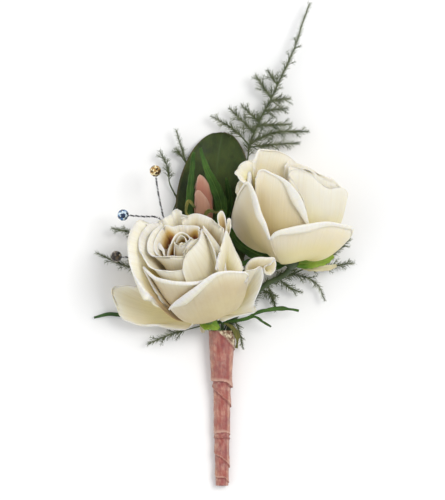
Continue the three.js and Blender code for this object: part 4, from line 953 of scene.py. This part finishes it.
# Leaves, sepals and stalks
def leaf_surface(leaf, ripple, teeth=0.0, seed=0):
    """The blade's form: a function of u across, -1 to 1, and v along, 0 to 1."""
    points = catmull_rom(leaf["spine"], SPINE_STEPS + 1)
    widest = leaf.get("widest", 0.4)

    def surface(u, v):
        place = min(v * SPINE_STEPS, SPINE_STEPS - 0.001)
        low, share = int(place), place % 1
        middle = points[low].lerp(points[low + 1], share)
        tangent = (points[min(low + 2, SPINE_STEPS)] - points[max(low - 1, 0)]).normalized()
        side = tangent.cross(UP).normalized()
        normal = side.cross(tangent).normalized()
        if v < widest:
            ratio = math.sin(math.pi / 2 * v / widest)
        else:
            ratio = math.cos(math.pi / 2 * (v - widest) / (1 - widest))
        half = leaf.get("slim", 0.35) + leaf["wide"] * max(ratio, 0) ** leaf.get("blunt", 0.8)
        half *= 1 + teeth * math.sin(v * 46 + seed) * smooth(v / 0.3)
        lift = leaf["fold"] * abs(u) * half
        lift += ripple * noise.noise(Vector((u * 1.6, v * 5, seed * 3.7))) * abs(u)
        return middle + side * (u * half) + normal * lift

    return surface


def add_hip(bm, bloom, radius, length, stem_radius):
    """The swollen green base of a bloom, turned round its axis."""
    profile = [(0.01, -length), (stem_radius, -length), (radius * 0.72, -length * 0.82),
               (radius * 0.97, -length * 0.6), (radius, -length * 0.42), (radius * 0.92, -length * 0.22),
               (radius * 0.8, -HIP_GAP), (0.01, -HIP_GAP)]
    start = len(bm.faces)
    verts = [bm.verts.new(bloom["base"] + bloom["right"] * x + bloom["axis"] * y) for x, y in profile]
    edges = [bm.edges.new(pair) for pair in zip(verts, verts[1:])]
    bmesh.ops.spin(bm, geom=verts + edges, cent=bloom["base"], axis=bloom["axis"], dvec=(0, 0, 0),
                   angle=2 * math.pi, steps=28, use_merge=True, use_duplicate=False)
    paint_faces(bm, start, STALK)


def make_calyx(name, bloom, sepals, stem, hip_radius, hip_length, skins, node):
    bm = new_blade_mesh()
    middle = tuple(bloom["base"] - bloom["axis"] * 0.4 * hip_length)
    for seed, sepal in enumerate(sepals):
        rooted = {**sepal, "spine": [middle, *sepal["spine"]]}
        form = leaf_surface(rooted, ripple=0.5, teeth=0.06, seed=seed)
        add_blade(bm, form, across=10, along=48, thick=SEPAL_THICK, material_index=sepal.get("skin", 0))
    add_hip(bm, bloom, hip_radius, hip_length, stem[0])
    add_rod(bm, catmull_rom(stem[1], 60), stem[0], STALK)
    bmesh.ops.recalc_face_normals(bm, faces=bm.faces)
    finish_piece(name, bm, skins, node)


def make_leaf_sprig(skins):
    bm = new_blade_mesh()
    add_blade(bm, leaf_surface(LARGE_LEAF, ripple=1.6, seed=4), across=32, along=80, thick=0.4)
    add_blade(bm, leaf_surface(SLENDER_LEAF, ripple=0.3, seed=6), across=8, along=60, thick=0.35,
              material_index=1)
    for radius, points in (STEMS["leaf"], SLENDER_TWIG):
        add_rod(bm, catmull_rom(points, 40), radius, 2)
    bmesh.ops.recalc_face_normals(bm, faces=bm.faces)
    finish_piece("leathery_leaf_sprig", bm, skins, "leaf_sprig")


# Fern
def tuft_templates(count, rng):
    """Small sprays of needles round +Z, each a mesh to be laid along the stems."""
    templates = []
    for _ in range(count):
        bm = bmesh.new()
        for k in range(NEEDLES_IN_TUFT):
            long = rng.uniform(*NEEDLE_LENGTHS)
            tilt = Matrix.Rotation(math.radians(rng.uniform(*NEEDLE_SPREADS)), 4, "Y")
            turn = Matrix.Rotation(2 * math.pi * (k + rng.uniform(-0.3, 0.3)) / NEEDLES_IN_TUFT, 4, "Z")
            place = turn @ tilt @ Matrix.Translation((0, 0, long / 2))
            bmesh.ops.create_cone(bm, cap_ends=True, segments=3, radius1=NEEDLE_RADIUS, radius2=NEEDLE_TIP,
                                  depth=long, matrix=place)
        mesh = bpy.data.meshes.new("tuft")
        bm.to_mesh(mesh)
        bm.free()
        templates.append(mesh)
    return templates


def length_of(points):
    return sum((b - a).length for a, b in zip(points, points[1:]))


def lay_tufts(bm, points, spacing, size, templates, rng, skip):
    """Tufts at even spacings along the points, smaller towards the tip."""
    count = max(2, int(length_of(points) * (1 - skip) / spacing))
    for i in range(count):
        v = skip + (1 - skip) * (i + 1) / count
        reach = min(v * (len(points) - 1), len(points) - 1.001)
        low, share = int(reach), reach % 1
        place = points[low].lerp(points[low + 1], share)
        way = (points[low + 1] - points[low]).to_track_quat("Z", "Y").to_matrix().to_4x4()
        scale = size * lerp(1.0, 0.55, v ** 3)
        turn = Matrix.Rotation(rng.uniform(0, 6.283), 4, "Z")
        matrix = Matrix.Translation(place) @ way @ turn @ Matrix.Scale(scale, 4)
        mesh = rng.choice(templates)
        mesh.transform(matrix)
        bm.from_mesh(mesh)
        mesh.transform(matrix.inverted())


def make_fern(name, branches, templates, skins, node, seed):
    """Stems and branches with tufts along them, and short shoots at either side in turn."""
    rng = random.Random(seed)
    bm = bmesh.new()
    for branch in branches:
        route = [Vector(p) for p in branch["route"]]
        length = length_of(route)
        size = branch.get("size", 1)
        points = catmull_rom(route, max(12, int(length / 1.2)))
        radius = LONG_STEM_RADIUS if length > LONG_STEM else BRANCH_RADIUS
        add_rod(bm, points, radius, 1, thin_to=0.35, rings=1)
        lay_tufts(bm, points, TUFT_SPACING * size, size, templates, rng, branch["bare"])
        reach = branch["bare"]
        hand = 1
        while reach < SHOOTS_END:
            low = int(reach * (len(points) - 1))
            start, way = points[low], (points[low + 1] - points[low]).normalized()
            side = way.cross(UP).normalized() * hand
            long = rng.uniform(*SHOOT_LENGTHS) * lerp(1.0, 0.5, reach) * size
            tip = start + (way * 0.75 + side * 0.6 + UP * rng.uniform(-0.15, 0.3)) * long
            shoot = catmull_rom([start, start.lerp(tip, 0.5) + UP * 0.2, tip], 6)
            add_rod(bm, shoot, SHOOT_RADIUS, 1, thin_to=0.5, rings=0)
            lay_tufts(bm, shoot, SHOOT_TUFT_SPACING, SHOOT_TUFT_SIZE * size, templates, rng, 0.25)
            hand = -hand
            reach += rng.uniform(*SHOOT_SPACINGS) / length
    for vert in bm.verts:
        vert.co.z = max(vert.co.z, FERN_LOWEST)
    finish_piece(name, bm, skins, node, shade_smooth=False)


# Crystal picks
def make_pick(name, route, skin, wire):
    """A faceted bead and the two strands of wire that twist round the route to it."""
    centre = Vector(route[0])
    bm = bmesh.new()
    bmesh.ops.create_icosphere(bm, subdivisions=2, radius=BEAD_RADIUS * 0.99)
    bmesh.ops.rotate(bm, verts=bm.verts, cent=(0, 0, 0), matrix=Matrix.Rotation(0.4, 3, "X"))
    bmesh.ops.translate(bm, verts=bm.verts, vec=centre)
    finish_piece(f"cut_crystal_{name}", bm, [skin], f"bead_{name}", shade_smooth=False)

    start = centre + (Vector(route[1]) - centre).normalized() * (BEAD_RADIUS - BEAD_HOLE_DEPTH)
    points = catmull_rom([tuple(start), *route[1:]], 420)
    bm = bmesh.new()
    for strand in (0, math.pi):
        twisted = []
        reach = 0.0
        for i, point in enumerate(points):
            way = (points[min(i + 1, len(points) - 1)] - points[max(i - 1, 0)]).normalized()
            side = way.cross(UP).normalized()
            lift = side.cross(way)
            if i:
                reach += (point - points[i - 1]).length
            angle = strand + 2 * math.pi * reach / TWIST_PITCH
            twisted.append(point + (side * math.cos(angle) + lift * math.sin(angle)) * WIRE_STRAND)
        add_rod(bm, twisted, WIRE_STRAND, rings=0)
    finish_piece(f"twisted_wire_{name}", bm, [wire], f"wire_{name}")


# Ribbon
def wrap_radius(y):
    if y > WRAP_WAIST:
        return lerp(WRAP_RADIUS_WAIST, WRAP_RADIUS_TOP, smooth((y - WRAP_WAIST) / (WRAP_TOP - WRAP_WAIST)))
    return lerp(WRAP_RADIUS_END, WRAP_RADIUS_WAIST, (y - WRAP_END) / (WRAP_WAIST - WRAP_END))


def ribbon_turn(angle, y):
    """Which turn of the ribbon a place lies on, its share of the way down it, and how proud its edge is."""
    sway = math.sin(angle)
    sag = 0.5 * math.sin(2 * angle + 0.6) + 0.5 * noise.noise(Vector((math.cos(angle), sway, y * 0.2)))
    above = WRAP_TOP + CUFF_RISE
    for turn, (left, right, proud) in enumerate(RIBBON_EDGES):
        below = lerp(left, right, (sway + 1) / 2) + sag
        if y > below:
            return turn, (above - y) / max(above - below, 0.4), proud
        above = below
    return len(RIBBON_EDGES), 0.5 * (above - y) / (above - WRAP_END + 1), 0.2


def make_ribbon(skin):
    """The wound ribbon: each turn laps the one below it and ends in a thin raised edge."""
    bm = bmesh.new()
    uv = bm.loops.layers.uv.new("UVMap")
    hollow = bm.verts.layers.float.new("hollow")
    bmesh.ops.create_cone(bm, cap_ends=False, segments=RIBBON_SIDES, radius1=1, radius2=1, depth=2)
    lengthwise = [edge for edge in bm.edges if abs(edge.verts[0].co.z - edge.verts[1].co.z) > 1]
    bmesh.ops.subdivide_edges(bm, edges=lengthwise, cuts=RIBBON_ROWS, use_grid_fill=True)
    lapped = {}
    for vert in bm.verts:
        angle = math.atan2(vert.co.x, vert.co.y)
        y = lerp(WRAP_END + RIBBON_THICK, WRAP_TOP, (vert.co.z + 1) / 2)
        turn, share, proud = ribbon_turn(angle, y)
        crease = noise.noise(Vector((math.cos(angle) * 2, y * 0.4 + angle * 0.6, math.sin(angle) * 2)))
        radius = wrap_radius(y) + proud * share ** RIBBON_FLARE + RIBBON_CREASE * crease
        z = wrap_radius(y) - WRAP_FLAT + math.cos(angle) * radius
        vert.co = Vector((math.sin(angle) * radius, y, max(RIBBON_THICK, z)))
        lapped[vert] = (angle / (2 * math.pi) + 0.5, share)
        # The top turn shows the wrap's hollow, which the satin colours cream with painted shade
        vert[hollow] = 1.0 if turn == 0 else 0.0
    for face in bm.faces:
        for loop in face.loops:
            loop[uv].uv = lapped[loop.vert]
    bmesh.ops.recalc_face_normals(bm, faces=bm.faces)
    bmesh.ops.solidify(bm, geom=bm.faces[:], thickness=RIBBON_THICK)
    for vert in bm.verts:
        vert.co.y = max(vert.co.y, WRAP_END)
        vert.co.z = max(vert.co.z, 0)
    finish_piece("wound_ribbon", bm, [skin], "ribbon_wrap")


set_stage()

# Each petal skin's last colour is the painted brown shade of the recesses deep in the cup
cream_open = petal_skin(
    "cream petal of the open rose",
    foot=(0.82, 0.7, 0.3), middle=(0.84, 0.77, 0.46), edge=(0.83, 0.78, 0.6), rim=(0.85, 0.82, 0.76),
    tan=(0.55, 0.41, 0.22), gold_and_shade=(0.64, 0.42, 0.1), painted_recess_shade=(0.2, 0.045, 0.01))
cream_half = petal_skin(
    "cream petal of the half-open rose",
    foot=(0.66, 0.58, 0.1), middle=(0.84, 0.75, 0.4), edge=(0.84, 0.78, 0.63), rim=(0.84, 0.805, 0.72),
    tan=(0.76, 0.62, 0.36), gold_and_shade=(0.7, 0.5, 0.16), painted_recess_shade=(0.4, 0.18, 0.05))
pink_bud = petal_skin(
    "pinkish tan bud petal",
    foot=(0.28, 0.2, 0.1), middle=(0.42, 0.23, 0.15), edge=(0.5, 0.28, 0.2), rim=(0.56, 0.35, 0.26),
    tan=(0.38, 0.13, 0.09), gold_and_shade=(0.4, 0.2, 0.1), painted_recess_shade=(0.2, 0.06, 0.03), translucent=0.15)

# Each blade: its dark and its light colour, its veins, how many ribs it has, and its roughness
sepal_green = leaf_skin("rose sepal", (0.02, 0.06, 0.01), (0.06, 0.14, 0.02), (0.2, 0.32, 0.1), 8, 0.5)
lime_sepal = leaf_skin("young rose sepal", (0.09, 0.2, 0.02), (0.3, 0.42, 0.05), (0.45, 0.5, 0.12), 6, 0.4)
pale_sepal = leaf_skin("pale sepal tongue", (0.5, 0.45, 0.24), (0.74, 0.68, 0.5), (0.55, 0.55, 0.25), 4, 0.45)
olive_sepal = leaf_skin("olive sepal tip", (0.07, 0.08, 0.02), (0.26, 0.24, 0.06), (0.36, 0.3, 0.1), 5, 0.45)
dark_leaf = leaf_skin("leathery leaf", (0.012, 0.024, 0.004), (0.05, 0.075, 0.012), (0.05, 0.085, 0.02),
                      16, 0.5, dry=(0.12, 0.09, 0.04))
slender_leaf = leaf_skin("slender leaf", (0.02, 0.05, 0.015), (0.05, 0.12, 0.03), (0.1, 0.18, 0.06), 4, 0.4)

stalk_green = stalk_skin("rose stalk", (0.06, 0.13, 0.03), (0.14, 0.22, 0.06))
# A darker copy of the rose stalk's greens, painted shade, for the half-open rose's stalk and hip
stalk_painted_shade = stalk_skin("shaded rose stalk", (0.02, 0.04, 0.01), (0.06, 0.09, 0.03))
tip_skins = [lime_sepal, pale_sepal, olive_sepal]
fern_skins = [needle_skin(), stalk_skin("fern stem", (0.05, 0.075, 0.025), (0.1, 0.13, 0.05))]

open_frame = bloom_frame(OPEN_ROSE)
half_frame = bloom_frame(HALF_ROSE)
bud_frame = bloom_frame(BUD)

make_bloom("open_rose_head", open_frame, OPEN_PETALS, cream_open, "rose_open_petals",
           {"turns": 2.6, "inner": 0.3, "outer": 2, "height": 32.5, "tilt": 0.5})
make_bloom("half_open_rose_head", half_frame, HALF_PETALS, cream_half, "rose_half_petals",
           {"turns": 3.2, "inner": 0.6, "outer": 7, "height": 31, "tilt": 1})
make_bloom("rose_bud_head", bud_frame, BUD_PETALS, pink_bud, "bud_petals", across=20, along=28)

make_calyx("open_rose_calyx", open_frame, OPEN_SEPALS, STEMS["open"], 3.1, 6,
           [sepal_green, stalk_green, *tip_skins], "rose_open_calyx")
make_calyx("half_open_rose_calyx", half_frame, HALF_SEPALS, STEMS["half"], 2.6, 5,
           [sepal_green, stalk_painted_shade, *tip_skins], "rose_half_calyx")
make_calyx("rose_bud_calyx", bud_frame, BUD_SEPALS, STEMS["bud"], 2.4, 4,
           [sepal_green, stalk_green, *tip_skins], "bud_calyx")
make_leaf_sprig([dark_leaf, slender_leaf, stalk_green])

tufts = tuft_templates(8, random.Random(11))
make_fern("tall_asparagus_fern", FERN_TALL, tufts, fern_skins, "fern_tall", 1)
make_fern("left_asparagus_fern", FERN_LEFT, tufts, fern_skins, "fern_left", 2)
make_fern("right_asparagus_fern", FERN_RIGHT, tufts, fern_skins, "fern_right", 3)
for tuft in tufts:
    bpy.data.meshes.remove(tuft)

silver = wire_metal()
# Each crystal: the painted dark reflection of its facets, its body colour, and its painted glint
crystals = {
    "amber": crystal("amber crystal", (0.08, 0.04, 0.01), (0.4, 0.22, 0.05), (0.95, 0.8, 0.45)),
    "blue": crystal("blue crystal", (0.01, 0.03, 0.08), (0.08, 0.2, 0.42), (0.7, 0.85, 0.95)),
    "smoky": crystal("smoky crystal", (0.02, 0.015, 0.01), (0.12, 0.09, 0.06), (0.45, 0.4, 0.32)),
}
for pick, route in PICKS.items():
    make_pick(pick, route, crystals[pick], silver)

make_ribbon(satin())

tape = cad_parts["stem_bundle"]
tape_skin = stalk_skin("waxed floral tape", (0.1, 0.15, 0.05), (0.2, 0.25, 0.1))
for place in range(len(tape.material_slots)):
    tape.material_slots[place].material = tape_skin
